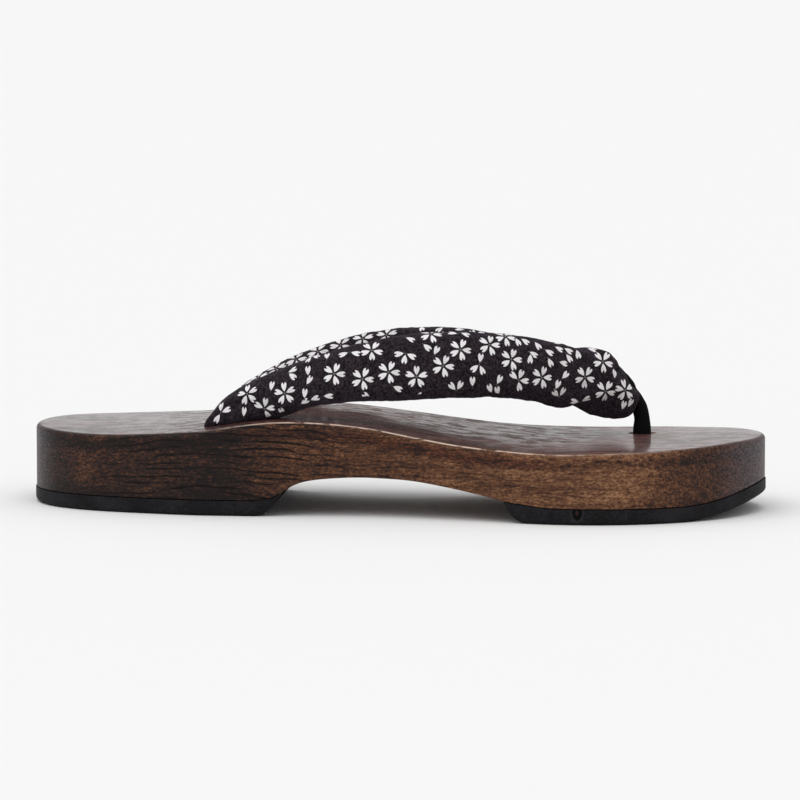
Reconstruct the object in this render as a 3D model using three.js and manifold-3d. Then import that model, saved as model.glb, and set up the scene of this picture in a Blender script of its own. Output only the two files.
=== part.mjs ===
// A low wooden thong sandal for the right foot: a shaped board on two rubber pads, and a padded cloth
// strap in two arms that meet at a cord post between the toes. Millimetres, +X to the toe, +Y to the
// inner side of the foot, +Z up, standing on z = 0.

import * as THREE from 'three';
import { mergeVertices } from 'three/addons/utils/BufferGeometryUtils.js';
import Module from 'manifold-3d';

const wasm = await Module();
wasm.setup();

// Sizes of the wooden board
const boardLength = 245;
const ballWidth = 91;
const toeSwing = 8.1;
const footbedHeight = 25.6;
const footbedCrown = 0.7;
const topEdgeRadius = 2;
const archHeight = 13.05;
const archSlant = 8;
const toeSpring = 5.6;

// Sizes of the rubber pads
const padThickness = 5;
const padProud = 0.3;
const padEdgeRadius = 1.8;
const padTipThickness = 0.6;
const padRoundLimit = 0.45;

// Strap holes in the board: bore, and place from the board's middle line
const postBore = 8.4;
const postOffset = 16.5;
const rearBore = 9;
const outerHoleOffset = 27;
const innerHoleOffset = 22;

// Sizes of the cloth strap's two arms: height of the arch over the footbed, bow outwards, breadth, and how
// far the arch stands back towards the heel
const outerRise = 23.5;
const outerBow = 18;
const outerBroad = 22.4;
const outerSetback = 0;
const innerRise = 21.6;
const innerBow = 12;
const innerBroad = 21;
const innerSetback = 10;
const strapThickness = 10.2;
const strapLean = 16;
const strapFullness = 2.3;

// Sizes of the cord post and of the strap's core inside its loop
const cordDiameter = 5.3;
const loopDiameter = 5;
const loopLength = 12.4;
const loopHeight = 9.2;
const loopTilt = 20;
const loopSetback = 10.4;
const loopLift = 12.8;
const coreLength = 15;

// Clearance between pieces that touch
const seatGap = 0.3;

// Shares of the board's length: round ends, spring of the toe, and the holes
const heelRound = { length: 0.17, power: 2.17 };
const toeRound = { length: 0.26, power: 2 };
const spring = { start: 0.9, power: 2.2 };
const slantFade = { heel: [0.1, 0.3], toe: [0.76, 0.95] };
const outerHoleAt = 0.284;
const innerHoleAt = 0.26;
const postHoleAt = 0.8285;

// Ends of the pads under the arch: where the tip is, how long its roll is, and how fast it rises
const heelPadEnd = { tip: 0.382, roll: 0.034, power: 1.7 };
const toePadEnd = { tip: 0.681, roll: 0.037, power: 3.5 };

// Sections of the board from heel to toe: place along the length, lean of the middle line to the inner
// side as a share of toeSwing, half width before the round ends as a share of ballWidth, and height of
// the footbed as a share of footbedHeight.
const boardSections = [
  { at: 0.0, lean: 0.0, half: 0.43, top: 1.02 },
  { at: 0.12, lean: 0.0, half: 0.432, top: 1.0 },
  { at: 0.25, lean: -0.36, half: 0.446, top: 1.071 },
  { at: 0.32, lean: -0.56, half: 0.421, top: 1.168 },
  { at: 0.38, lean: -0.69, half: 0.39, top: 1.214 },
  { at: 0.44, lean: -0.72, half: 0.361, top: 1.194 },
  { at: 0.5, lean: -0.69, half: 0.355, top: 1.134 },
  { at: 0.62, lean: -0.48, half: 0.412, top: 0.966 },
  { at: 0.74, lean: -0.04, half: 0.499, top: 0.898 },
  { at: 0.86, lean: 0.49, half: 0.547, top: 0.913 },
  { at: 1.0, lean: 1.0, half: 0.549, top: 0.973 },
];

// Underside of the board between its two seats: rise from a seat to the arch, as a share.
const archSections = [
  { at: 0.31, rise: 0.0 },
  { at: 0.335, rise: 0.01 },
  { at: 0.362, rise: 0.12 },
  { at: 0.373, rise: 0.26 },
  { at: 0.382, rise: 0.44 },
  { at: 0.392, rise: 0.63 },
  { at: 0.408, rise: 0.81 },
  { at: 0.436, rise: 0.93 },
  { at: 0.475, rise: 1.0 },
  { at: 0.514, rise: 0.99 },
  { at: 0.553, rise: 0.93 },
  { at: 0.593, rise: 0.76 },
  { at: 0.633, rise: 0.54 },
  { at: 0.66, rise: 0.37 },
  { at: 0.681, rise: 0.23 },
  { at: 0.705, rise: 0.14 },
  { at: 0.735, rise: 0.03 },
  { at: 0.76, rise: 0.0 },
];

// Sections of one strap arm from its rear hole to the vertex: way towards the post, bow outwards as a
// share of the arm's bow, height over the footbed as a share of its rise, and the padded section's sizes
// as shares of the arm's breadth, strapThickness and strapLean.
const armSections = [
  { along: -0.004, bow: 0.0, up: -0.07, broad: 0.54, thick: 0.96, lean: 0.0 },
  { along: -0.0015, bow: 0.02, up: 0.06, broad: 0.555, thick: 0.98, lean: 0.0 },
  { along: 0.013, bow: 0.08, up: 0.185, broad: 0.54, thick: 1.0, lean: 0.1 },
  { along: 0.033, bow: 0.15, up: 0.275, broad: 0.56, thick: 1.0, lean: 0.3 },
  { along: 0.06, bow: 0.23, up: 0.365, broad: 0.6, thick: 1.0, lean: 0.6 },
  { along: 0.097, bow: 0.34, up: 0.46, broad: 0.64, thick: 1.0, lean: 0.8 },
  { along: 0.151, bow: 0.51, up: 0.59, broad: 0.675, thick: 1.0, lean: 0.9 },
  { along: 0.223, bow: 0.72, up: 0.735, broad: 0.72, thick: 1.0, lean: 1.0 },
  { along: 0.285, bow: 0.87, up: 0.825, broad: 0.785, thick: 1.0, lean: 1.0 },
  { along: 0.346, bow: 0.96, up: 0.895, broad: 0.85, thick: 1.0, lean: 1.0 },
  { along: 0.448, bow: 1.0, up: 0.967, broad: 0.955, thick: 1.0, lean: 1.0 },
  { along: 0.543, bow: 0.98, up: 1.0, broad: 1.0, thick: 1.0, lean: 1.0 },
  { along: 0.628, bow: 0.9, up: 0.987, broad: 0.98, thick: 1.0, lean: 1.0 },
  { along: 0.707, bow: 0.77, up: 0.948, broad: 0.94, thick: 1.0, lean: 1.0 },
  { along: 0.758, bow: 0.67, up: 0.894, broad: 0.9, thick: 1.0, lean: 1.0 },
  { along: 0.809, bow: 0.56, up: 0.826, broad: 0.88, thick: 1.0, lean: 0.9 },
  { along: 0.868, bow: 0.4, up: 0.75, broad: 0.885, thick: 1.0, lean: 0.7 },
  { along: 0.913, bow: 0.28, up: 0.62, broad: 0.93, thick: 0.98, lean: 0.5 },
  { along: 0.945, bow: 0.21, up: 0.47, broad: 0.8, thick: 0.9, lean: 0.4 },
  { along: 0.972, bow: 0.17, up: 0.38, broad: 0.46, thick: 0.6, lean: 0.3 },
];

// The post's shaft from its hole to the front of the loop: way back from the hole and height over the
// loop's middle as shares of loopLength and loopHeight, and girth as a share of cordDiameter.
const shaftPoints = [
  { back: 0.0, up: -2.6, girth: 1.0 },
  { back: 0.0, up: -1.75, girth: 1.0 },
  { back: 0.0, up: -1.35, girth: 1.0 },
  { back: 0.01, up: -1.05, girth: 1.0 },
  { back: 0.05, up: -0.78, girth: 1.0 },
  { back: 0.145, up: -0.48, girth: 1.0 },
  { back: 0.28, up: -0.2, girth: 0.98 },
  { back: 0.4, up: 0.02, girth: 0.9 },
  { back: 0.5, up: 0.19, girth: 0.7 },
];

// Fineness of the meshes
const capSteps = 11;
const middleSteps = 18;
const edgeSteps = 3;
const footbedColumns = 10;
const undersideColumns = 3;
const rollSteps = 7;
const armStepsPerRow = 3;
const armSides = 14;
const cordSides = 10;
const loopSteps = 26;
const shaftSteps = 16;
const holeSides = 24;
const closestStations = 0.006;
const slopeStep = 1e-4;
const weldDistance = 1e-3;
const quarterTurn = Math.PI / 2;
const sideways = new THREE.Vector3(0, 1, 0);

// Materials
const woodFinish = new THREE.MeshStandardMaterial({ color: 0x3b2416, roughness: 0.35, metalness: 0 });
const rubberFinish = new THREE.MeshStandardMaterial({ color: 0x0d0d10, roughness: 0.75, metalness: 0 });
const clothFinish = new THREE.MeshStandardMaterial({ color: 0x231d25, roughness: 0.9, metalness: 0 });
const cordFinish = new THREE.MeshStandardMaterial({ color: 0x121215, roughness: 0.85, metalness: 0 });

// A column of a table as a smooth curve, read at any place of its first column.
function readTable(rows, key, column, place) {
  const last = rows.length - 1;
  let k = 0;
  while (k < last - 1 && place > rows[k + 1][key]) k += 1;
  const slope = (i) => {
    const before = rows[Math.max(i - 1, 0)];
    const after = rows[Math.min(i + 1, last)];
    return (after[column] - before[column]) / (after[key] - before[key]);
  };
  const from = rows[k];
  const to = rows[k + 1];
  const span = to[key] - from[key];
  const t = THREE.MathUtils.clamp((place - from[key]) / span, 0, 1);
  const bend = t * t * (3 - 2 * t);
  const leave = t * (1 - t) * (1 - t) * span * slope(k);
  const arrive = t * t * (1 - t) * span * slope(k + 1);
  return from[column] + (to[column] - from[column]) * bend + leave - arrive;
}

const armRows = armSections.map((row, index) => ({ ...row, index }));

// Forms of the board as functions of the place along its length
function lengthwise(at) {
  return (at - 0.5) * boardLength;
}

function endRound(at) {
  const inHeel = Math.max((heelRound.length - at) / heelRound.length, 0);
  const inToe = Math.max((at - 1 + toeRound.length) / toeRound.length, 0);
  const heel = (1 - Math.min(inHeel, 1) ** heelRound.power) ** (1 / heelRound.power);
  const toe = (1 - Math.min(inToe, 1) ** toeRound.power) ** (1 / toeRound.power);
  return heel * toe;
}

function halfWidth(at) {
  return readTable(boardSections, 'at', 'half', at) * ballWidth * endRound(at);
}

function middleLine(at) {
  return readTable(boardSections, 'at', 'lean', at) * toeSwing;
}

function footbed(at) {
  return readTable(boardSections, 'at', 'top', at) * footbedHeight;
}

function toeLift(at) {
  return toeSpring * (Math.max(at - spring.start, 0) / (1 - spring.start)) ** spring.power;
}

// Place of a row across the board, at a share of the way from the outer to the inner side. Rows under the
// arch run slanted, so that the arch lies archSlant further back on the inner side.
function alongRow(at, share) {
  const { heel, toe } = slantFade;
  const full = THREE.MathUtils.smoothstep(at, ...heel) * (1 - THREE.MathUtils.smoothstep(at, ...toe));
  return at - archSlant / boardLength * full * share;
}

function sideOfRow(at, side) {
  return side > 0 ? alongRow(at, 1) : at;
}

function underside(at) {
  const seat = padThickness + seatGap;
  const inArch = at > archSections[0].at && at < archSections[archSections.length - 1].at;
  const rise = inArch ? readTable(archSections, 'at', 'rise', at) : 0;
  return seat + (archHeight - seat) * rise + toeLift(at);
}

// A point of the board's outline on one side, +1 inner and -1 outer, moved inwards by an inset.
function edgePoint(at, side, inset) {
  const before = Math.max(at - slopeStep, 0);
  const after = Math.min(at + slopeStep, 1);
  const across = (place) => middleLine(place) + side * halfWidth(place);
  const along = new THREE.Vector2(lengthwise(after) - lengthwise(before), across(after) - across(before));
  const outward = new THREE.Vector2(-along.y * side, along.x * side).normalize();
  if (at === 0) outward.set(-1, 0);
  if (at === 1) outward.set(1, 0);
  return new THREE.Vector2(lengthwise(at), across(at)).addScaledVector(outward, -inset);
}

// Points between the two ends of a row, with the height given as a function of the share across.
function acrossRow(from, to, columns, height) {
  const row = [];
  for (let c = 1; c < columns; c += 1) {
    const share = c / columns;
    const point = from.clone().lerp(to, share);
    row.push(new THREE.Vector3(point.x, point.y, height(share)));
  }
  return row;
}

function boardRing(at, lift) {
  const under = underside(at);
  const crown = footbedCrown * halfWidth(at) / (ballWidth / 2);
  const wall = (side) => {
    const place = sideOfRow(at, side);
    const top = footbed(place) + lift;
    const foot = edgePoint(place, side, 0);
    const points = [new THREE.Vector3(foot.x, foot.y, under)];
    for (let k = 0; k <= edgeSteps; k += 1) {
      const turn = quarterTurn * k / edgeSteps;
      const point = edgePoint(place, side, topEdgeRadius * (1 - Math.cos(turn)));
      points.push(new THREE.Vector3(point.x, point.y, top - topEdgeRadius * (1 - Math.sin(turn))));
    }
    return points;
  };
  const outer = edgePoint(at, -1, topEdgeRadius);
  const inner = edgePoint(sideOfRow(at, 1), 1, topEdgeRadius);
  const crowned = (share) => footbed(alongRow(at, share)) + lift + crown * (1 - (2 * share - 1) ** 2);
  const bed = acrossRow(outer, inner, footbedColumns, crowned);
  const far = edgePoint(sideOfRow(at, 1), 1, 0);
  const bottom = acrossRow(far, edgePoint(at, -1, 0), undersideColumns, () => under);
  return [...wall(-1), ...bed, ...wall(1).reverse(), ...bottom];
}

function boardStations() {
  const places = [0, 1];
  for (let k = 1; k <= capSteps; k += 1) {
    const share = 1 - Math.cos(quarterTurn * k / capSteps);
    places.push(heelRound.length * share, 1 - toeRound.length * share);
  }
  for (let k = 1; k < middleSteps; k += 1) {
    const share = k / middleSteps;
    places.push(heelRound.length * (1 - share) + (1 - toeRound.length) * share);
  }
  for (const row of archSections) places.push(row.at);
  places.sort((a, b) => a - b);
  const kept = [];
  for (const place of places) {
    const free = kept.length === 0 || place - kept[kept.length - 1] > closestStations;
    if (free || place < closestStations || place > 1 - closestStations) kept.push(place);
  }
  return [...new Set(kept)];
}

// A pad's section: flat on top under the board, with round lower edges.
function padRing(at, bottom) {
  const top = underside(at) - seatGap;
  const round = Math.min(padEdgeRadius, (top - bottom) * padRoundLimit);
  const edge = (side, inset) => edgePoint(sideOfRow(at, side), side, inset - padProud);
  const wall = (side) => {
    const head = edge(side, 0);
    const points = [new THREE.Vector3(head.x, head.y, top)];
    for (let k = 0; k <= edgeSteps; k += 1) {
      const turn = quarterTurn * k / edgeSteps;
      const point = edge(side, round * (1 - Math.cos(turn)));
      points.push(new THREE.Vector3(point.x, point.y, bottom + round * (1 - Math.sin(turn))));
    }
    return points;
  };
  const roof = acrossRow(edge(-1, 0), edge(1, 0), undersideColumns, () => top);
  const sole = acrossRow(edge(1, round), edge(-1, round), undersideColumns, () => bottom);
  return [...wall(-1).reverse(), ...roof, ...wall(1), ...sole];
}

// A pad from a round end of the board to its rolled tip under the arch.
function padRings(end, towardsToe) {
  const direction = towardsToe ? 1 : -1;
  const rollStart = end.tip + direction * end.roll;
  const tipHeight = underside(end.tip) - seatGap - padTipThickness;
  const places = [];
  for (let k = 0; k <= rollSteps; k += 1) places.push(end.tip + direction * end.roll * k / rollSteps);
  for (const place of boardStations()) {
    if ((place - rollStart) * direction > closestStations) places.push(place);
  }
  places.sort((a, b) => a - b);
  return places.map((at) => {
    const rolled = Math.max((rollStart - at) * direction / end.roll, 0);
    return padRing(at, toeLift(at) + tipHeight * rolled ** end.power);
  });
}

// Skin over rings of points, capped at both ends; rings that shrink to a line close by themselves.
function loft(rings, { closed = false, caps = [true, true] } = {}) {
  const count = rings[0].length;
  const points = rings.flat();
  const faces = [];
  const bands = closed ? rings.length : rings.length - 1;
  for (let r = 0; r < bands; r += 1) {
    const next = (r + 1) % rings.length;
    for (let k = 0; k < count; k += 1) {
      const a = r * count + k;
      const b = r * count + (k + 1) % count;
      const c = next * count + (k + 1) % count;
      const d = next * count + k;
      faces.push([a, c, b], [a, d, c]);
    }
  }
  const cap = (first, forward) => {
    const middle = new THREE.Vector3();
    for (let k = 0; k < count; k += 1) middle.addScaledVector(points[first + k], 1 / count);
    const hub = points.push(middle) - 1;
    for (let k = 0; k < count; k += 1) {
      const a = first + k;
      const b = first + (k + 1) % count;
      faces.push(forward ? [a, hub, b] : [a, b, hub]);
    }
  };
  if (!closed && caps[0]) cap(0, false);
  if (!closed && caps[1]) cap((rings.length - 1) * count, true);
  return weld(points, faces);
}

function weld(points, faces) {
  const raw = new THREE.BufferGeometry().setFromPoints(points);
  raw.setIndex(faces.flat());
  return dropSlivers(mergeVertices(raw, weldDistance));
}

// Triangles that merging has closed to a line are taken out.
function dropSlivers(geometry) {
  const index = geometry.index.array;
  const kept = [];
  for (let k = 0; k < index.length; k += 3) {
    const [a, b, c] = [index[k], index[k + 1], index[k + 2]];
    if (a !== b && b !== c && c !== a) kept.push(a, b, c);
  }
  geometry.setIndex(kept);
  return geometry;
}

function toSolid(geometry) {
  const plain = geometry.clone();
  plain.deleteAttribute('normal');
  plain.deleteAttribute('uv');
  const merged = dropSlivers(mergeVertices(plain, weldDistance));
  const vertProperties = new Float32Array(merged.attributes.position.array);
  const triVerts = new Uint32Array(merged.index.array);
  return new wasm.Manifold(new wasm.Mesh({ numProp: 3, vertProperties, triVerts }));
}

function toGeometry(solid) {
  const mesh = solid.getMesh();
  const geometry = new THREE.BufferGeometry();
  geometry.setAttribute('position', new THREE.BufferAttribute(new Float32Array(mesh.vertProperties), 3));
  geometry.setIndex(Array.from(mesh.triVerts));
  return geometry;
}

// An upright round bar from one height to another.
function uprightBar(centre, diameter, from, to) {
  const bar = new THREE.CylinderGeometry(diameter / 2, diameter / 2, to - from, holeSides);
  bar.rotateX(quarterTurn);
  bar.translate(centre.x, centre.y, (from + to) / 2);
  return bar;
}

const postHole = new THREE.Vector2(lengthwise(postHoleAt), postOffset);
const outerArm = {
  hole: new THREE.Vector2(lengthwise(outerHoleAt), -outerHoleOffset),
  holeAt: outerHoleAt,
  side: -1,
  rise: outerRise,
  bow: outerBow,
  broad: outerBroad,
  setback: outerSetback,
};
const innerArm = {
  hole: new THREE.Vector2(lengthwise(innerHoleAt), innerHoleOffset),
  holeAt: innerHoleAt,
  side: 1,
  rise: innerRise,
  bow: innerBow,
  broad: innerBroad,
  setback: innerSetback,
};

function boardForm(lift) {
  const rings = boardStations().map((at) => boardRing(at, lift));
  return toSolid(loft(rings, { caps: [false, false] }));
}

function makeBoard() {
  const above = footbedHeight * 2;
  const bores = [[outerArm.hole, rearBore], [innerArm.hole, rearBore], [postHole, postBore]];
  let board = boardForm(0);
  for (const [centre, diameter] of bores) {
    board = board.subtract(toSolid(uprightBar(centre, diameter, 0, above)));
  }
  return toGeometry(board);
}

function makeHeelPad() {
  return loft(padRings(heelPadEnd, false), { caps: [false, true] });
}

function makeToePad() {
  return loft(padRings(toePadEnd, true), { caps: [true, false] });
}

// One arm of the strap: a padded section carried from its rear hole to the vertex.
function armForm(arm) {
  const { side } = arm;
  const centre = (place) => {
    const along = readTable(armRows, 'index', 'along', place);
    const way = arm.hole.clone().lerp(postHole, along);
    const back = arm.setback * Math.max(Math.sin(Math.PI * along), 0);
    const bow = side * arm.bow * readTable(armRows, 'index', 'bow', place);
    const height = footbedHeight + arm.rise * readTable(armRows, 'index', 'up', place);
    return new THREE.Vector3(way.x - back, way.y + bow, height);
  };
  const rings = [];
  const last = armRows.length - 1;
  const step = 1 / armStepsPerRow;
  for (let place = 0; place <= last + step / 2; place += step) {
    const spot = Math.min(place, last);
    const back = centre(Math.max(spot - step / 2, 0));
    const along = centre(Math.min(spot + step / 2, last)).sub(back).normalize();
    const inward = new THREE.Vector3(0, -side, 0).addScaledVector(along, side * along.y).normalize();
    const lean = THREE.MathUtils.degToRad(strapLean * readTable(armRows, 'index', 'lean', spot));
    const upright = new THREE.Vector3().crossVectors(inward, along).multiplyScalar(side);
    const broadAxis = upright.clone().multiplyScalar(Math.cos(lean)).addScaledVector(inward, Math.sin(lean));
    const thickAxis = new THREE.Vector3().crossVectors(broadAxis, along);
    const broad = arm.broad / 2 * readTable(armRows, 'index', 'broad', spot);
    const thick = strapThickness / 2 * readTable(armRows, 'index', 'thick', spot);
    rings.push(ovalRing(centre(spot), broadAxis, thickAxis, broad, thick, armSides, strapFullness));
  }
  return toSolid(loft(rings));
}

// An oval ring; a power over 2 makes it fuller than an ellipse.
function ovalRing(centre, broadAxis, thickAxis, broad, thick, sides, power) {
  const ring = [];
  for (let k = 0; k < sides; k += 1) {
    const turn = 2 * Math.PI * k / sides;
    const a = Math.sign(Math.cos(turn)) * Math.abs(Math.cos(turn)) ** (2 / power);
    const b = Math.sign(Math.sin(turn)) * Math.abs(Math.sin(turn)) ** (2 / power);
    ring.push(centre.clone().addScaledVector(broadAxis, broad * a).addScaledVector(thickAxis, thick * b));
  }
  return ring;
}

const loopMiddle = new THREE.Vector3(postHole.x - loopSetback, postHole.y, footbedHeight + loopLift);

// The loop's oval path round the strap's vertex, its front end dipped.
class LoopPath extends THREE.Curve {
  getPoint(share) {
    const turn = 2 * Math.PI * share;
    const path = new THREE.Vector3(loopLength / 2 * Math.cos(turn), 0, loopHeight / 2 * Math.sin(turn));
    return path.applyAxisAngle(sideways, THREE.MathUtils.degToRad(loopTilt)).add(loopMiddle);
  }
}

function shaftPath() {
  const points = shaftPoints.map(({ back, up }) => {
    return new THREE.Vector3(postHole.x - loopLength * back, postHole.y, loopMiddle.z + loopHeight * up);
  });
  points[0].z = underside(postHoleAt) + seatGap;
  return new THREE.CatmullRomCurve3(points);
}

// A round cord along a curve that lies in the upright plane of the post.
function cordForm(curve, diameter, steps, closed) {
  const rings = [];
  const count = closed ? steps : steps + 1;
  for (let k = 0; k < count; k += 1) {
    const share = k / steps;
    const centre = curve.getPoint(share);
    const upAxis = new THREE.Vector3().crossVectors(sideways, curve.getTangent(share));
    const radius = diameter(share) / 2;
    rings.push(ovalRing(centre, sideways, upAxis, radius, radius, cordSides, 2));
  }
  return toSolid(loft(rings, { closed }));
}

function postForm(clearance) {
  const last = shaftPoints.length - 1;
  const rows = shaftPoints.map((row, index) => ({ ...row, index }));
  const girth = (share) => readTable(rows, 'index', 'girth', share * last);
  const loop = cordForm(new LoopPath(), () => loopDiameter + 2 * clearance, loopSteps, true);
  const shaft = cordForm(shaftPath(), (share) => cordDiameter * girth(share) + 2 * clearance, shaftSteps, false);
  return loop.add(shaft);
}

function makeStrap() {
  const core = new THREE.SphereGeometry(coreLength / 2, armSides, cordSides);
  core.scale(loopLength / coreLength, 1, loopHeight / coreLength);
  core.translate(loopMiddle.x, loopMiddle.y, loopMiddle.z);
  let strap = armForm(outerArm).add(armForm(innerArm)).add(toSolid(core));
  strap = strap.subtract(boardForm(seatGap)).subtract(postForm(seatGap));
  for (const { hole, holeAt } of [outerArm, innerArm]) {
    const foot = underside(holeAt) + seatGap;
    const head = footbed(holeAt) + topEdgeRadius;
    strap = strap.add(toSolid(uprightBar(hole, rearBore - 2 * seatGap, foot, head)));
  }
  return toGeometry(strap);
}

function makePost() {
  return toGeometry(postForm(0));
}

function piece(name, geometry, material) {
  const mesh = new THREE.Mesh(geometry, material);
  mesh.name = name;
  return mesh;
}

// The sandal stands with the middle of its outline over the origin.
function sidewaysMiddle() {
  const places = boardStations();
  const innermost = Math.max(...places.map((at) => edgePoint(at, 1, 0).y));
  const outermost = Math.min(...places.map((at) => edgePoint(at, -1, 0).y));
  return (innermost + outermost) / 2;
}

const sandal = new THREE.Group();
sandal.add(
  piece('sole_board', makeBoard(), woodFinish),
  piece('heel_pad', makeHeelPad(), rubberFinish),
  piece('toe_pad', makeToePad(), rubberFinish),
  piece('strap', makeStrap(), clothFinish),
  piece('toe_post', makePost(), cordFinish),
);
sandal.position.y = -sidewaysMiddle();

export default sandal;
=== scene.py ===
"""A low wooden thong sandal for the right foot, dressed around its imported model.

Everything is in metres in the part's own frame: +X to the toe, +Y to the inner side of the foot, +Z up,
standing on z = 0. Forms are worked out in millimetres and handed to Blender in metres.
"""

import logging
import math
from dataclasses import dataclass, field
from enum import Enum
from typing import Iterable, Optional, Sequence, Union

import bmesh
import bpy
import numpy as np
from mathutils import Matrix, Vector
from mathutils.bvhtree import BVHTree
from mathutils.interpolate import poly_3d_calc
from mathutils.kdtree import KDTree


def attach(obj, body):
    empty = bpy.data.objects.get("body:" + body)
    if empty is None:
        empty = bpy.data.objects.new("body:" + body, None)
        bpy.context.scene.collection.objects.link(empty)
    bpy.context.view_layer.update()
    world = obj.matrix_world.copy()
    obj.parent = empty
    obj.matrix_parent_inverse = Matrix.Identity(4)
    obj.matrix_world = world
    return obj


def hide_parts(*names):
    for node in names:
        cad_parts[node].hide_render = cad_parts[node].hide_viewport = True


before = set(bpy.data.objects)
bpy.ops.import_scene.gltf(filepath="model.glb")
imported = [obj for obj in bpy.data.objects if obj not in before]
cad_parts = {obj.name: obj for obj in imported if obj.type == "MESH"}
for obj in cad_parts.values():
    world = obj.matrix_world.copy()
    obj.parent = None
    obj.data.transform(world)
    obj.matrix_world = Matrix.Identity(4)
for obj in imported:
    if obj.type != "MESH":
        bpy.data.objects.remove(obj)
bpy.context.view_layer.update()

MM = 0.001
QUARTER = math.pi / 2
Array = np.ndarray
Value = Union["Expr", float, tuple, bpy.types.NodeSocket]
log = logging.getLogger("sandal")


class Side(Enum):
    """The two sides of the foot, with the sign of Y on each."""

    OUTER = -1
    INNER = 1


class Seam(Enum):
    """How a skin over rings of points ends."""

    OPEN = "open"
    CLOSED = "closed"
    CAPPED = "capped"


# Shader maths


class Expr:
    """A shader value that can be written in Python expressions."""

    def __init__(self, tree: "Nodes", socket: bpy.types.NodeSocket) -> None:
        """Wraps a socket.

        Args:
            tree: the node tree it belongs to.
            socket: the output socket that carries the value.
        """
        self.tree = tree
        self.socket = socket

    def __add__(self, other: Value) -> "Expr":
        """Sum."""
        return self.tree.math("ADD", self, other)

    def __radd__(self, other: Value) -> "Expr":
        """Sum, reflected."""
        return self.tree.math("ADD", other, self)

    def __sub__(self, other: Value) -> "Expr":
        """Difference."""
        return self.tree.math("SUBTRACT", self, other)

    def __rsub__(self, other: Value) -> "Expr":
        """Difference, reflected."""
        return self.tree.math("SUBTRACT", other, self)

    def __mul__(self, other: Value) -> "Expr":
        """Product."""
        return self.tree.math("MULTIPLY", self, other)

    def __rmul__(self, other: Value) -> "Expr":
        """Product, reflected."""
        return self.tree.math("MULTIPLY", other, self)

    def __truediv__(self, other: Value) -> "Expr":
        """Quotient."""
        return self.tree.math("DIVIDE", self, other)

    def __rtruediv__(self, other: Value) -> "Expr":
        """Quotient, reflected."""
        return self.tree.math("DIVIDE", other, self)

    def __abs__(self) -> "Expr":
        """Size without sign."""
        return self.tree.math("ABSOLUTE", self)


@dataclass(frozen=True)
class Mottle:
    """A layer of noise: its stretch for each millimetre, its scale, octaves and their strength."""

    stretch: tuple
    scale: float = 1.0
    detail: float = 3.0
    rough: float = 0.5


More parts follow.
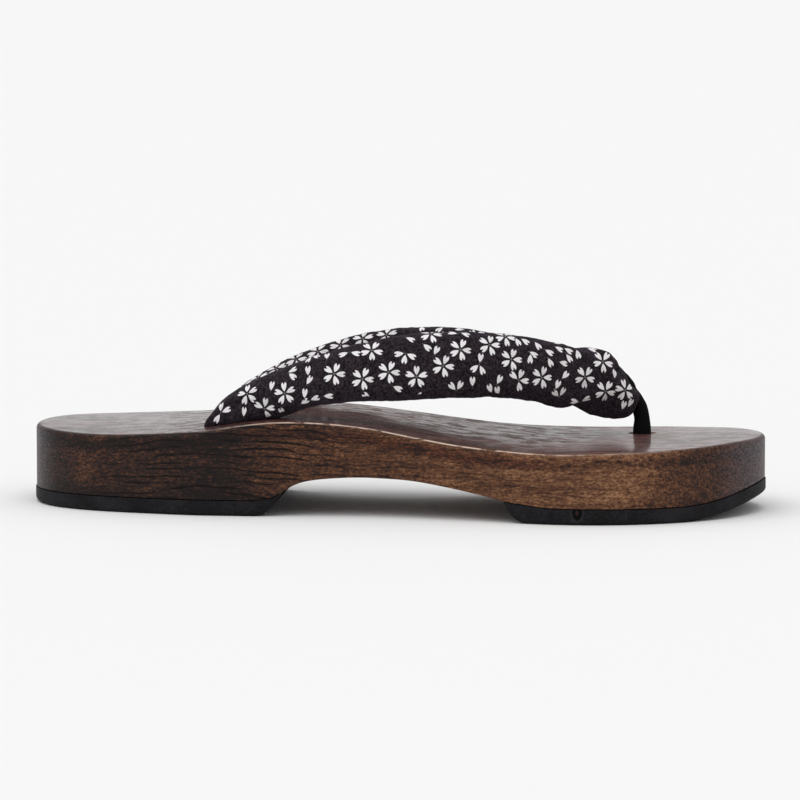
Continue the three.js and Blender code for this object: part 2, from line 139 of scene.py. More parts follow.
class Nodes:
    """A material's node tree with one way to add each kind of node."""

    def __init__(self, name: str) -> None:
        """Makes an empty material.

        Args:
            name: the material's name.
        """
        self.material = bpy.data.materials.new(name)
        self.material.use_nodes = True
        self.tree = self.material.node_tree
        self.tree.nodes.clear()
        self.output = self.tree.nodes.new("ShaderNodeOutputMaterial")

    def add(self, kind: str, inputs: Optional[dict] = None, **settings: object) -> bpy.types.Node:
        """Adds a node.

        Args:
            kind: the node's type.
            inputs: values or links for its sockets, by name or number.
            **settings: properties of the node, set first.

        Returns:
            The new node.
        """
        node = self.tree.nodes.new(kind)
        for name, value in settings.items():
            if name == "stops":
                self.set_stops(node, value)
            else:
                setattr(node, name, value)
        for name, value in (inputs or {}).items():
            self.feed(node.inputs[name], value)
        return node

    def set_stops(self, node: bpy.types.Node, stops: Sequence[tuple]) -> None:
        """Sets the stops of a colour ramp.

        Args:
            node: the ramp.
            stops: pairs of a place and a grey or a colour.
        """
        ramp = node.color_ramp
        while len(ramp.elements) < len(stops):
            ramp.elements.new(1.0)
        for element, (place, tone) in zip(ramp.elements, stops):
            element.position = place
            element.color = (*tone, 1.0) if isinstance(tone, tuple) else (tone, tone, tone, 1.0)

    def feed(self, socket: bpy.types.NodeSocket, value: Value) -> None:
        """Links or sets one input socket.

        Args:
            socket: the input.
            value: an expression, a socket or a constant.
        """
        if isinstance(value, Expr):
            value = value.socket
        if isinstance(value, bpy.types.NodeSocket):
            self.tree.links.new(value, socket)
        elif isinstance(value, tuple) and len(value) == 3 and socket.type == "RGBA":
            socket.default_value = (*value, 1.0)
        else:
            socket.default_value = value

    def math(self, operation: str, *values: Value, clamp: bool = False) -> Expr:
        """A Math node on numbers.

        Args:
            operation: the node's operation.
            *values: its one to three inputs.
            clamp: whether the result is kept in 0 to 1.

        Returns:
            The result.
        """
        inputs = dict(enumerate(values))
        node = self.add("ShaderNodeMath", inputs, operation=operation, use_clamp=clamp)
        return Expr(self, node.outputs[0])

    def vector(self, operation: str, first: Value, second: Value) -> Expr:
        """A Vector Math node on two vectors; SCALE takes a number second."""
        slot = 3 if operation == "SCALE" else 1
        node = self.add("ShaderNodeVectorMath", {0: first, slot: second}, operation=operation)
        return Expr(self, node.outputs[0])

    def mix(self, factor: Value, first: Value, second: Value, blend: str = "MIX") -> Expr:
        """Mixes two colours.

        Args:
            factor: share of the second colour.
            first: the colour at 0.
            second: the colour at 1.
            blend: the node's blend type.

        Returns:
            The mixed colour.
        """
        inputs = {0: factor, 6: first, 7: second}
        node = self.add("ShaderNodeMix", inputs, data_type="RGBA", blend_type=blend)
        return Expr(self, node.outputs[2])

    def step(self, value: Value, low: float, high: float) -> Expr:
        """A smooth step of a value from 0 at low to 1 at high."""
        inputs = {"Value": value, 1: low, 2: high}
        node = self.add("ShaderNodeMapRange", inputs, interpolation_type="SMOOTHSTEP")
        return Expr(self, node.outputs[0])

    def ramp(self, value: Value, stops: Sequence[tuple]) -> Expr:
        """A colour ramp of a value through stops of a place and a tone or colour."""
        node = self.add("ShaderNodeValToRGB", {0: value}, stops=stops)
        return Expr(self, node.outputs[0])

    def noise(self, place: Value, scale: float, detail: float = 3.0, rough: float = 0.5) -> Expr:
        """Smooth noise about 0.5.

        Args:
            place: where it is read.
            scale: how fine it is.
            detail: octaves.
            rough: strength of the finer octaves.

        Returns:
            The noise.
        """
        inputs = {"Vector": place, "Scale": scale, "Detail": detail, "Roughness": rough}
        return Expr(self, self.add("ShaderNodeTexNoise", inputs).outputs[0])

    def mottle(self, layer: Mottle, place: Value, drift: Optional[Value] = None) -> Expr:
        """Reads a layer of noise, moved by a drift if one is given."""
        at = self.vector("MULTIPLY", place, layer.stretch)
        if drift is not None:
            at = self.vector("ADD", at, drift)
        return self.noise(at, layer.scale, layer.detail, layer.rough)

    def place(self) -> Expr:
        """The surface's place in the part's frame, in millimetres."""
        node = self.add("ShaderNodeTexCoord")
        return self.vector("SCALE", node.outputs["Object"], 1 / MM)

    def parts(self, place: Expr) -> tuple:
        """The three numbers of a vector."""
        node = self.add("ShaderNodeSeparateXYZ", {0: place})
        return tuple(Expr(self, socket) for socket in node.outputs)

    def attribute(self, name: str) -> bpy.types.Node:
        """A value that the mesh carries under a name."""
        return self.add("ShaderNodeAttribute", attribute_name=name)

    def bump(self, height: Value, distance: float, normal: Optional[Value] = None) -> Expr:
        """Relief on the surface.

        Args:
            height: its height, about 0 to 1.
            distance: metres that a height of 1 stands for.
            normal: relief that lies under it.

        Returns:
            The bent normal.
        """
        inputs = {"Height": height, "Distance": distance, "Strength": 1.0}
        if normal is not None:
            inputs["Normal"] = normal
        return Expr(self, self.add("ShaderNodeBump", inputs).outputs[0])

    def surface(self, **sockets: Value) -> bpy.types.Material:
        """Closes the material with one shader.

        Args:
            **sockets: the shader's inputs, with underscores for spaces.

        Returns:
            The material.
        """
        inputs = {name.replace("_", " "): value for name, value in sockets.items()}
        shader = self.add("ShaderNodeBsdfPrincipled", inputs)
        self.tree.links.new(shader.outputs[0], self.output.inputs[0])
        return self.material


# Finishes


@dataclass(frozen=True)
class GrowthLines:
    """Thin dark wavy lines of the grain, strongest where the wood is scorched.

    A pair named as a step holds the value where it starts and the one where it is full.
    """

    pitch: float = 0.42
    slow_waves: float = 5.0
    fine_waves: float = 1.3
    phase_offset: float = 20.0
    line_step: tuple = (0.17, 0.05)
    gaps: Mottle = Mottle((0.05, 0.3, 0.3), detail=2.0)
    gap_step: tuple = (0.40, 0.52)
    scorch_middle: float = -52.0
    scorch_step: tuple = (46.0, 18.0)
    faint: float = 0.35
    scorched_more: float = 0.9

    def mask(self, n: Nodes, place: Expr, depth: Expr, wander: Expr, bands: Expr) -> Expr:
        """Where the lines run.

        Args:
            n: the material's nodes.
            place: the surface's place.
            depth: how deep a place lies in the plank.
            wander: slow waviness.
            bands: finer waviness.

        Returns:
            1 on a line and 0 off it.
        """
        phase = depth * self.pitch + wander * self.slow_waves + (bands - 0.5) * self.fine_waves
        line = n.step(abs(n.math("FRACT", phase + self.phase_offset) - 0.5), *self.line_step)
        broken = n.step(n.mottle(self.gaps, place), *self.gap_step)
        along, _, _ = n.parts(place)
        scorched = n.step(abs(along - self.scorch_middle), *self.scorch_step)
        return line * broken * (self.faint + scorched * self.scorched_more)


@dataclass(frozen=True)
class WoodDepths:
    """How strongly each layer darkens, lightens or tints the wood."""

    patches: float = 0.4
    bands: float = 0.5
    fibres: float = 1.3
    specks: float = 1.25
    warm: float = 0.24
    shadow: float = 0.16
    foot: float = 0.14
    lines: float = 0.4
    # Grey at the board's ends, partly a painted sheen.
    end_sheen: float = 0.35
    end_sheen_specks: float = 2.4
    # Strength of the footbed's stain, which carries the painted lighter ends.
    stain_and_sheen: float = 0.85
    red: float = 0.7
    # Strength of the top edge's worn line with its painted highlight.
    wear_highlight: float = 0.9


@dataclass(frozen=True)
class StainedWood:
    """Dark stained, scorched wood under glossy lacquer, with its top edge worn bright and a painted highlight
    along it, painted lighter ends on the footbed and a painted grey sheen on the end walls.

    A pair named as a step holds the value where it starts and the one where it is full. The rim is the
    distance in millimetres from the foot of the top edge's round, negative down the wall.
    """

    slot: str = "lacquered_wood"
    tones: tuple = (
        (0.0, (0.006, 0.003, 0.0025)), (0.25, (0.027, 0.0105, 0.0075)), (0.5, (0.082, 0.031, 0.0135)),
        (0.75, (0.165, 0.073, 0.035)), (1.0, (0.30, 0.155, 0.075)),
    )
    # Grey of both end walls: end-grain speckle with a painted grazing sheen.
    end_grey_sheen: tuple = (0.13, 0.105, 0.12)
    plum_dark: tuple = (0.022, 0.009, 0.007)
    plum: tuple = (0.13, 0.052, 0.05)
    # Lighter plum at the footbed's ends: a painted reflection of the bright surround, away from the strap's
    # shade.
    plum_lit_ends: tuple = (0.20, 0.09, 0.093)
    red: tuple = (1.0, 0.72, 0.68)
    # Tan of the top edge: light wood where the lacquer is worn, with a painted highlight where the round
    # catches light.
    wear_highlight: tuple = (0.74, 0.58, 0.47)
    length: float = 245.0
    scorch: tuple = (
        (0.0, 0.20), (0.04, 0.17), (0.085, 0.21), (0.13, 0.20), (0.17, 0.22), (0.22, 0.18), (0.26, 0.15),
        (0.31, 0.18), (0.35, 0.36), (0.40, 0.46), (0.47, 0.50), (0.54, 0.51), (0.62, 0.59), (0.67, 0.65),
        (0.72, 0.70), (0.78, 0.73), (0.83, 0.76), (0.87, 0.68), (0.91, 0.50), (0.95, 0.38), (1.0, 0.34),
    )
    shine: tuple = (
        (0.0, 0.93), (0.2, 0.85), (0.3, 0.62), (0.45, 0.48), (0.6, 0.46), (0.75, 0.48), (0.88, 0.8),
        (1.0, 0.95),
    )
    # Where along the length the top edge's worn line and its painted highlight show.
    wear_highlight_along: tuple = (
        (0.0, 0.0), (0.26, 0.04), (0.32, 0.5), (0.42, 1.0), (0.66, 0.9), (0.8, 0.4), (0.9, 0.08), (1.0, 0.0),
    )
    warm_spot: tuple = (-98.0, -38.0, 14.0)
    warm_reach: float = 9.0
    wander: Mottle = Mottle((0.014, 0.05, 0.05), detail=2.0)
    drift: float = 8.0
    bands: Mottle = Mottle((0.03, 0.34, 0.34), rough=0.6)
    fibres: Mottle = Mottle((0.09, 1.0, 1.0), 1.25, 5.0, 0.72)
    specks: Mottle = Mottle((0.5, 1.0, 1.0), 1.7, 2.0, 0.6)
    patches: Mottle = Mottle((0.45, 1.0, 1.0), 0.07, 3.0, 0.6)
    grain: Mottle = Mottle((0.016, 0.2, 0.2), 1.0, 5.0, 0.7)
    ripples: Mottle = Mottle((0.17, 0.22, 0.22), 1.0, 5.0, 0.7)
    chips: Mottle = Mottle((0.16, 0.5, 0.5), 1.0, 3.0, 0.7)
    plank_tilt: float = 0.3
    lines: GrowthLines = GrowthLines()
    depths: WoodDepths = WoodDepths()
    top_step: tuple = (1.2, 3.0)
    shadow_below: float = 2.2
    shadow_step: tuple = (2.4, 0.6)
    foot_step: tuple = (10.0, 5.5)
    end_sheen_step: tuple = (108.0, 121.0)
    vein_step: tuple = (0.36, 0.64)
    ends_about: float = 0.48
    ends_step: tuple = (0.2, 0.34)
    red_about: float = 0.45
    red_step: tuple = (0.34, 0.2)
    chip_step: tuple = (0.36, 0.54)
    wear_highlight_middle: float = 1.5
    wear_highlight_step: tuple = (0.45, 0.15)
    sheen_step: tuple = (0.43, 0.57)
    sheen_swing: float = 1.5
    sheen_calm: float = 1.1
    wall_coat: float = 0.14
    line_coat: float = 0.13
    relief: float = 0.0004
    speck_relief: float = 0.00012

    def material(self) -> bpy.types.Material:
        """Makes the node material.

        Returns:
            The material.
        """
        n = Nodes(self.slot)
        depths = self.depths
        place = n.place()
        along, aside, height = n.parts(place)
        share = along / self.length + 0.5
        rim = Expr(n, n.attribute("rim").outputs["Fac"])
        on_top = n.step(rim, *self.top_step)
        wander = n.mottle(self.wander, place) - 0.5
        sideways = n.add("ShaderNodeCombineXYZ", {1: wander, 2: wander}).outputs[0]
        drift = n.vector("SCALE", sideways, self.drift)
        bands = n.mottle(self.bands, place, drift)
        fibres = n.mottle(self.fibres, place, drift)
        specks = n.mottle(self.specks, place)
        patches = n.mottle(self.patches, place)
        rings = self.lines.mask(n, place, height + aside * self.plank_tilt, wander, bands)
        warm = n.add("ShaderNodeVectorMath", {0: place, 1: self.warm_spot}, operation="DISTANCE")
        tone = n.ramp(share, self.scorch) + (patches - 0.5) * depths.patches + (bands - 0.5) * depths.bands
        tone = tone + (fibres - 0.5) * depths.fibres + (specks - 0.5) * depths.specks
        tone = tone + n.step(Expr(n, warm.outputs["Value"]), self.warm_reach, 0.0) * depths.warm
        under_rim = n.step(abs(rim + self.shadow_below), *self.shadow_step)
        tone = tone - under_rim * depths.shadow - n.step(height, *self.foot_step) * depths.foot
        tone = tone - rings * depths.lines
        colour = n.ramp(tone, self.tones)
        # Both ends turn grey: the end grain's speckle and a painted sheen where the walls are seen edge-on.
        far_end = n.step(abs(along), *self.end_sheen_step)
        colour = n.mix(far_end * (depths.end_sheen + (specks - 0.5) * depths.end_sheen_specks), colour, self.end_grey_sheen)
        grain = n.mottle(self.grain, place, drift)
        ripples = n.mottle(self.ripples, place)
        veins = n.step(grain * 0.7 + fibres * 0.3, *self.vein_step)
        ends = n.step(abs(share - self.ends_about), *self.ends_step)
        # Footbed stain, painted lighter at both ends to stand in for the lacquer's reflection there.
        stain_and_sheen = n.mix(veins, self.plum_dark, n.mix(ends, self.plum, self.plum_lit_ends))
        colour = n.mix(on_top * depths.stain_and_sheen, colour, stain_and_sheen)
        reddened = under_rim * n.step(abs(share - self.red_about), *self.red_step) * depths.red
        colour = n.mix(reddened, colour, n.mix(1.0, colour, self.red, "MULTIPLY"))
        broken = n.step(n.mottle(self.chips, place), *self.chip_step)
        # Top edge's tan line: partly worn lacquer, partly a painted highlight on the round.
        edge = n.step(abs(rim - self.wear_highlight_middle), *self.wear_highlight_step)
        colour = n.mix(edge * broken * n.ramp(share, self.wear_highlight_along) * depths.wear_highlight, colour, self.wear_highlight)
        sheen = n.step(grain * 0.4 + ripples * 0.6, *self.sheen_step)
        streaks = 1.0 + (sheen - 0.5) * (self.sheen_swing - ends * self.sheen_calm)
        gloss = n.math("MULTIPLY", n.ramp(share, self.shine), streaks, clamp=True)
        relief = fibres + bands * 0.5 - rings * 0.35 + on_top * (ripples + grain)
        return n.surface(
            Base_Color=colour,
            Roughness=0.5 + (fibres - 0.5) * 0.4,
            Specular_IOR_Level=0.12,
            Coat_Weight=n.mix(on_top, self.wall_coat - rings * self.line_coat, gloss),
            Coat_Roughness=0.15,
            Normal=n.bump(specks, self.speck_relief, n.bump(relief, self.relief)),
        )


@dataclass(frozen=True)
class PadRubber:
    """Matt black rubber with a faint pebbled skin."""

    slot: str = "pad_rubber"
    dark: tuple = (0.0055, 0.005, 0.006)
    pale: tuple = (0.022, 0.02, 0.023)
    mark: tuple = (68.6, 0.0, 4.1)
    mark_half: tuple = (1.25, 1.0, 1.95)
    mark_tint: tuple = (0.035, 0.012, 0.01)
    lip_tint: tuple = (0.03, 0.027, 0.03)
    groove_tint: tuple = (0.0002, 0.0002, 0.0002)

    def material(self) -> bpy.types.Material:
        """Makes the node material, with the small oval plug on the forefoot pad's outer side.

        Returns:
            The material.
        """
        n = Nodes(self.slot)
        place = n.place()
        _, aside, _ = n.parts(place)
        dust = n.noise(place, 0.12, 4.0, 0.6)
        pebbles = n.noise(place, 2.2, 3.0, 0.6)
        colour = n.mix(n.step(dust * 0.4 + pebbles * 0.6, 0.4, 0.64), self.dark, self.pale)
        flat = n.vector("DIVIDE", n.vector("SUBTRACT", place, self.mark), self.mark_half)
        across, _, up = n.parts(flat)
        oval = n.math("SQRT", across * across + up * up)
        outer = n.step(aside, -30.0, -32.0)
        groove = n.step(abs(oval - 0.85), 0.42, 0.22) * outer
        heart = n.step(oval, 0.42, 0.2) * outer
        lip = n.step(abs(oval - 1.55), 0.3, 0.1) * outer
        colour = n.mix(lip * 0.6, colour, self.lip_tint)
        colour = n.mix(heart, n.mix(groove, colour, self.groove_tint), self.mark_tint)
        return n.surface(
            Base_Color=colour,
            Roughness=0.6 + (dust - 0.5) * 0.25,
            Specular_IOR_Level=0.1,
            Normal=n.bump(pebbles - groove * 2.5, 0.0002),
        )


@dataclass(frozen=True)
class BlossomCloth:
    """Black crepe cotton printed with small off-white cherry blossoms."""

    slot: str = "blossom_cloth"
    ground: tuple = (0.0025, 0.0018, 0.0025)
    ground_pale: tuple = (0.043, 0.03, 0.04)
    print_white: tuple = (0.95, 0.925, 0.94)
    print_worn: tuple = (0.66, 0.62, 0.62)
    petals: int = 5
    bloom_radius: float = 3.85
    petal_half: float = 0.245
    notch: float = 0.27
    notch_half: float = 0.13
    outline: tuple = (
        (0.0, 0.0), (0.17, 0.0), (0.27, 0.34), (0.42, 0.68), (0.6, 0.94), (0.75, 1.0), (0.86, 0.9),
        (0.95, 0.62), (1.0, 0.28),
    )

    def petal_mask(self, n: Nodes) -> Expr:
        """The print's white: five heart-tipped petals about each bloom's middle.

        Args:
            n: the material's nodes.

        Returns:
            1 on a petal and 0 off it.
        """
        across, up, kept = n.parts(Expr(n, n.attribute("bloom").outputs["Vector"]))
        radius = n.math("SQRT", across * across + up * up) / self.bloom_radius
        turn = n.math("FRACT", n.math("ARCTAN2", up, across) / (2 * math.pi) + 1.0)
        slices = turn * self.petals
        lean = (n.math("FRACT", slices) - 0.5) * (2 * math.pi / self.petals)
        out = radius * n.math("COSINE", lean)
        aside = abs(radius * n.math("SINE", lean))
        wide = n.ramp(out, self.outline) * self.petal_half
        inside = n.step(wide - aside, -0.018, 0.018)
        tip = 1.0 - self.notch * n.math("MAXIMUM", 1.0 - aside / self.notch_half, 0.0)
        ended = n.step(tip - out, -0.018, 0.018)
        bit = n.math("FLOOR", kept / n.math("POWER", 2.0, n.math("FLOOR", slices)))
        present = n.math("GREATER_THAN", n.math("MODULO", bit, 2.0), 0.5)
        cloth = n.step(n.attribute("printed").outputs["Fac"], -0.1, 0.1)
        return inside * ended * present * cloth

    def material(self) -> bpy.types.Material:
        """Makes the node material.

        Returns:
            The material.
        """
        n = Nodes(self.slot)
        place = n.place()
        slub = n.noise(place, 0.5, 3.0, 0.6)
        crepe = n.noise(place, 1.35, 4.0, 0.7)
        threads = n.noise(place, 6.0, 2.0, 0.6)
        ground = n.mix(n.step(crepe * 0.8 + slub * 0.2, 0.4, 0.64), self.ground, self.ground_pale)
        ink = n.mix(n.step(threads * 0.5 + crepe * 0.5, 0.3, 0.5), self.print_worn, self.print_white)
        colour = n.mix(self.petal_mask(n), ground, ink)
        relief = n.bump(crepe, 0.0006)
        return n.surface(
            Base_Color=colour,
            Roughness=0.9,
            Specular_IOR_Level=0.12,
            Sheen_Weight=0.1,
            Sheen_Roughness=0.5,
            Sheen_Tint=(0.75, 0.65, 0.8),
            Normal=n.bump(threads, 0.0001, relief),
        )


@dataclass(frozen=True)
class PostCloth:
    """Plain black cloth drawn round the toe post's cord."""

    slot: str = "post_cord"
    dark: tuple = (0.003, 0.0025, 0.003)
    pale: tuple = (0.009, 0.0075, 0.0085)

    def material(self) -> bpy.types.Material:
        """Makes the node material.

        Returns:
            The material.
        """
        n = Nodes(self.slot)
        place = n.place()
        weave = n.noise(n.vector("MULTIPLY", place, (1.0, 1.0, 0.5)), 4.5, 3.0, 0.6)
        colour = n.mix(n.step(weave, 0.35, 0.7), self.dark, self.pale)
        return n.surface(
            Base_Color=colour,
            Roughness=0.86,
            Specular_IOR_Level=0.08,
            Normal=n.bump(weave, 0.00015),
        )


# Forms


class Table:
    """Rows with named columns, read as smooth curves over the first column or over the row's number."""

    def __init__(self, columns: Sequence[str], rows: Sequence[tuple], numbered: bool = False) -> None:
        """Keeps the rows by column.

        Args:
            columns: the columns' names.
            rows: the rows.
            numbered: read by the row's number and not by the first column.
        """
        self.columns = {name: np.array([row[i] for row in rows], float) for i, name in enumerate(columns)}
        self.keys = np.arange(len(rows), dtype=float) if numbered else self.columns[columns[0]]

    def read(self, column: str, places: Union[float, Array]) -> Array:
        """A column at any places.

        Args:
            column: its name.
            places: where it is read.

        Returns:
            The values there.
        """
        keys, values = self.keys, self.columns[column]
        last = len(keys) - 1
        rows = np.arange(last + 1)
        before, after = np.maximum(rows - 1, 0), np.minimum(rows + 1, last)
        slopes = (values[after] - values[before]) / (keys[after] - keys[before])
        places = np.asarray(places, float)
        k = np.clip(np.searchsorted(keys, places) - 1, 0, last - 1)
        span = keys[k + 1] - keys[k]
        t = np.clip((places - keys[k]) / span, 0.0, 1.0)
        bend = t * t * (3 - 2 * t)
        leave = t * (1 - t) ** 2 * span * slopes[k]
        arrive = t * t * (1 - t) * span * slopes[k + 1]
        return values[k] + (values[k + 1] - values[k]) * bend + leave - arrive


def unit(vectors: Array) -> Array:
    """Vectors at length one."""
    return vectors / np.maximum(np.linalg.norm(vectors, axis=-1, keepdims=True), 1e-12)


def wave(points: Array, length: float, seed: int, octaves: int = 3) -> Array:
    """Smooth waviness over space, the same on each run.

    Args:
        points: places in millimetres.
        length: the longest wave in millimetres.
        seed: which waviness.
        octaves: how many halvings of the wave are added.

    Returns:
        A height of about -1 to 1 for each point.
    """
    random = np.random.default_rng(seed)
    total = np.zeros(points.shape[:-1])
    for octave in range(octaves):
        for _ in range(5):
            direction = unit(random.normal(size=3)) * 2 * math.pi * 2**octave / length
            total += np.sin(points @ direction + random.uniform(0, 2 * math.pi)) * 0.5**octave / 3
    return total


@dataclass
class Skin:
    """Points in millimetres and faces of one piece."""

    points: Array
    faces: list

    @staticmethod
    def over(rings: Array, ends: Seam) -> "Skin":
        """Skin over rings of points.

        Args:
            rings: rings by points by three.
            ends: whether the rings close on themselves, stay open or get flat ends.

        Returns:
            The skin.
        """
        count, sides = rings.shape[:2]
        points = rings.reshape(-1, 3)
        faces = []
        bands = count if ends is Seam.CLOSED else count - 1
        for r in range(bands):
            here, there = r * sides, (r + 1) % count * sides
            for k in range(sides):
                after = (k + 1) % sides
                faces.append((here + k, there + k, there + after, here + after))
        if ends is Seam.CAPPED:
            faces.append(tuple(range(sides)))
            faces.append(tuple(reversed(range((count - 1) * sides, count * sides))))
        return Skin(points, faces)

    def joined(self, *others: "Skin") -> "Skin":
        """This skin with others, as one."""
        points, faces = [self.points], list(self.faces)
        start = len(self.points)
        for other in others:
            faces += [tuple(i + start for i in face) for face in other.faces]
            points.append(other.points)
            start += len(other.points)
        return Skin(np.vstack(points), faces)

    def object(self, name: str) -> bpy.types.Object:
        """Makes the piece's object in the scene, in metres.

        Args:
            name: its name.

        Returns:
            The object.
        """
        mesh = bpy.data.meshes.new(name)
        mesh.from_pydata((self.points * MM).tolist(), [], self.faces)
        mesh.validate()
        return placed(name, mesh)


def placed(name: str, data: bpy.types.ID) -> bpy.types.Object:
    """Puts a mesh, lamp or camera into the scene."""
    made = bpy.data.objects.new(name, data)
    bpy.context.scene.collection.objects.link(made)
    return made


def read_all(items: bpy.types.bpy_prop_collection, key: str, width: int = 1, kind: type = float) -> Array:
    """One property of all a mesh's items.

    Args:
        items: its vertices, loops or polygons.
        key: the property.
        width: how many numbers it holds.
        kind: float or int.

    Returns:
        The numbers, in rows where an item has several.
    """
    flat = np.zeros(len(items) * width, kind)
    items.foreach_get(key, flat)
    return flat.reshape(-1, width) if width > 1 else flat


def carry(piece: bpy.types.Object, key: str, values: Array, domain: str = "POINT") -> None:
    """Stores a number or a vector on a mesh for its material.

    Args:
        piece: the object.
        key: the name that the material reads.
        values: one number or one vector of three for each element.
        domain: POINT or CORNER.
    """
    flat = np.asarray(values, np.float32)
    kind, slot = ("FLOAT", "value") if flat.ndim == 1 else ("FLOAT_VECTOR", "vector")
    layer = piece.data.attributes.new(key, kind, domain)
    layer.data.foreach_set(slot, flat.ravel())


def weld(piece: bpy.types.Object, distance: float = 2e-6) -> None:
    """Merges points that coincide and points every face outwards."""
    shell = bmesh.new()
    shell.from_mesh(piece.data)
    bmesh.ops.remove_doubles(shell, verts=shell.verts, dist=distance)
    bmesh.ops.dissolve_degenerate(shell, dist=distance / 10, edges=shell.edges)
    bmesh.ops.recalc_face_normals(shell, faces=shell.faces)
    shell.to_mesh(piece.data)
    shell.free()


def smooth(piece: bpy.types.Object, sharp: Optional[float] = None) -> None:
    """Shades a piece smoothly, except across edges sharper than an angle in degrees."""
    piece.data.shade_smooth()
    if sharp is not None:
        piece.data.set_sharp_from_angle(angle=math.radians(sharp))


def settle(piece: bpy.types.Object) -> None:
    """Applies a piece's modifiers to its mesh."""
    graph = bpy.context.evaluated_depsgraph_get()
    made = bpy.data.meshes.new_from_object(piece.evaluated_get(graph))
    piece.modifiers.clear()
    old = piece.data
    piece.data = made
    bpy.data.meshes.remove(old)


def mesh_points(piece: bpy.types.Object) -> Array:
    """A mesh's points in millimetres."""
    return read_all(piece.data.vertices, "co", 3) / MM


def move_points(piece: bpy.types.Object, points: Array) -> None:
    """Sets a mesh's points, in millimetres."""
    piece.data.vertices.foreach_set("co", (points * MM).ravel())
    piece.data.update()
    smooth(piece)


def carve(piece: bpy.types.Object, cutters: Sequence[bpy.types.Object]) -> None:
    """Cuts the cutters out of a piece and removes them."""
    for cutter in cutters:
        cut = piece.modifiers.new("cut", "BOOLEAN")
        cut.operation, cut.solver, cut.object = "DIFFERENCE", "MANIFOLD", cutter
    settle(piece)
    for cutter in cutters:
        bpy.data.objects.remove(cutter)


def even_skin(piece: bpy.types.Object, voxel: float, rounds: int) -> None:
    """Merges a piece into one even skin of small faces.

    Args:
        piece: the object.
        voxel: the faces' size in millimetres.
        rounds: how often it is smoothed after.
    """
    merge = piece.modifiers.new("one", "REMESH")
    merge.mode, merge.voxel_size = "VOXEL", voxel * MM
    even = piece.modifiers.new("even", "SMOOTH")
    even.factor, even.iterations = 0.5, rounds
    settle(piece)


def finish_piece(piece: bpy.types.Object, finish: object, *nodes: str) -> bpy.types.Object:
    """Dresses a piece and lets it stand for its nodes.

    Args:
        piece: the object.
        finish: what it is made of.
        *nodes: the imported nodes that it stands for.

    Returns:
        The object.
    """
    piece.data.materials.clear()
    piece.data.materials.append(finish.material())
    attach(piece, "root")
    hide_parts(*nodes)
    log.info("%s: %d faces", piece.name, len(piece.data.polygons))
    return piece


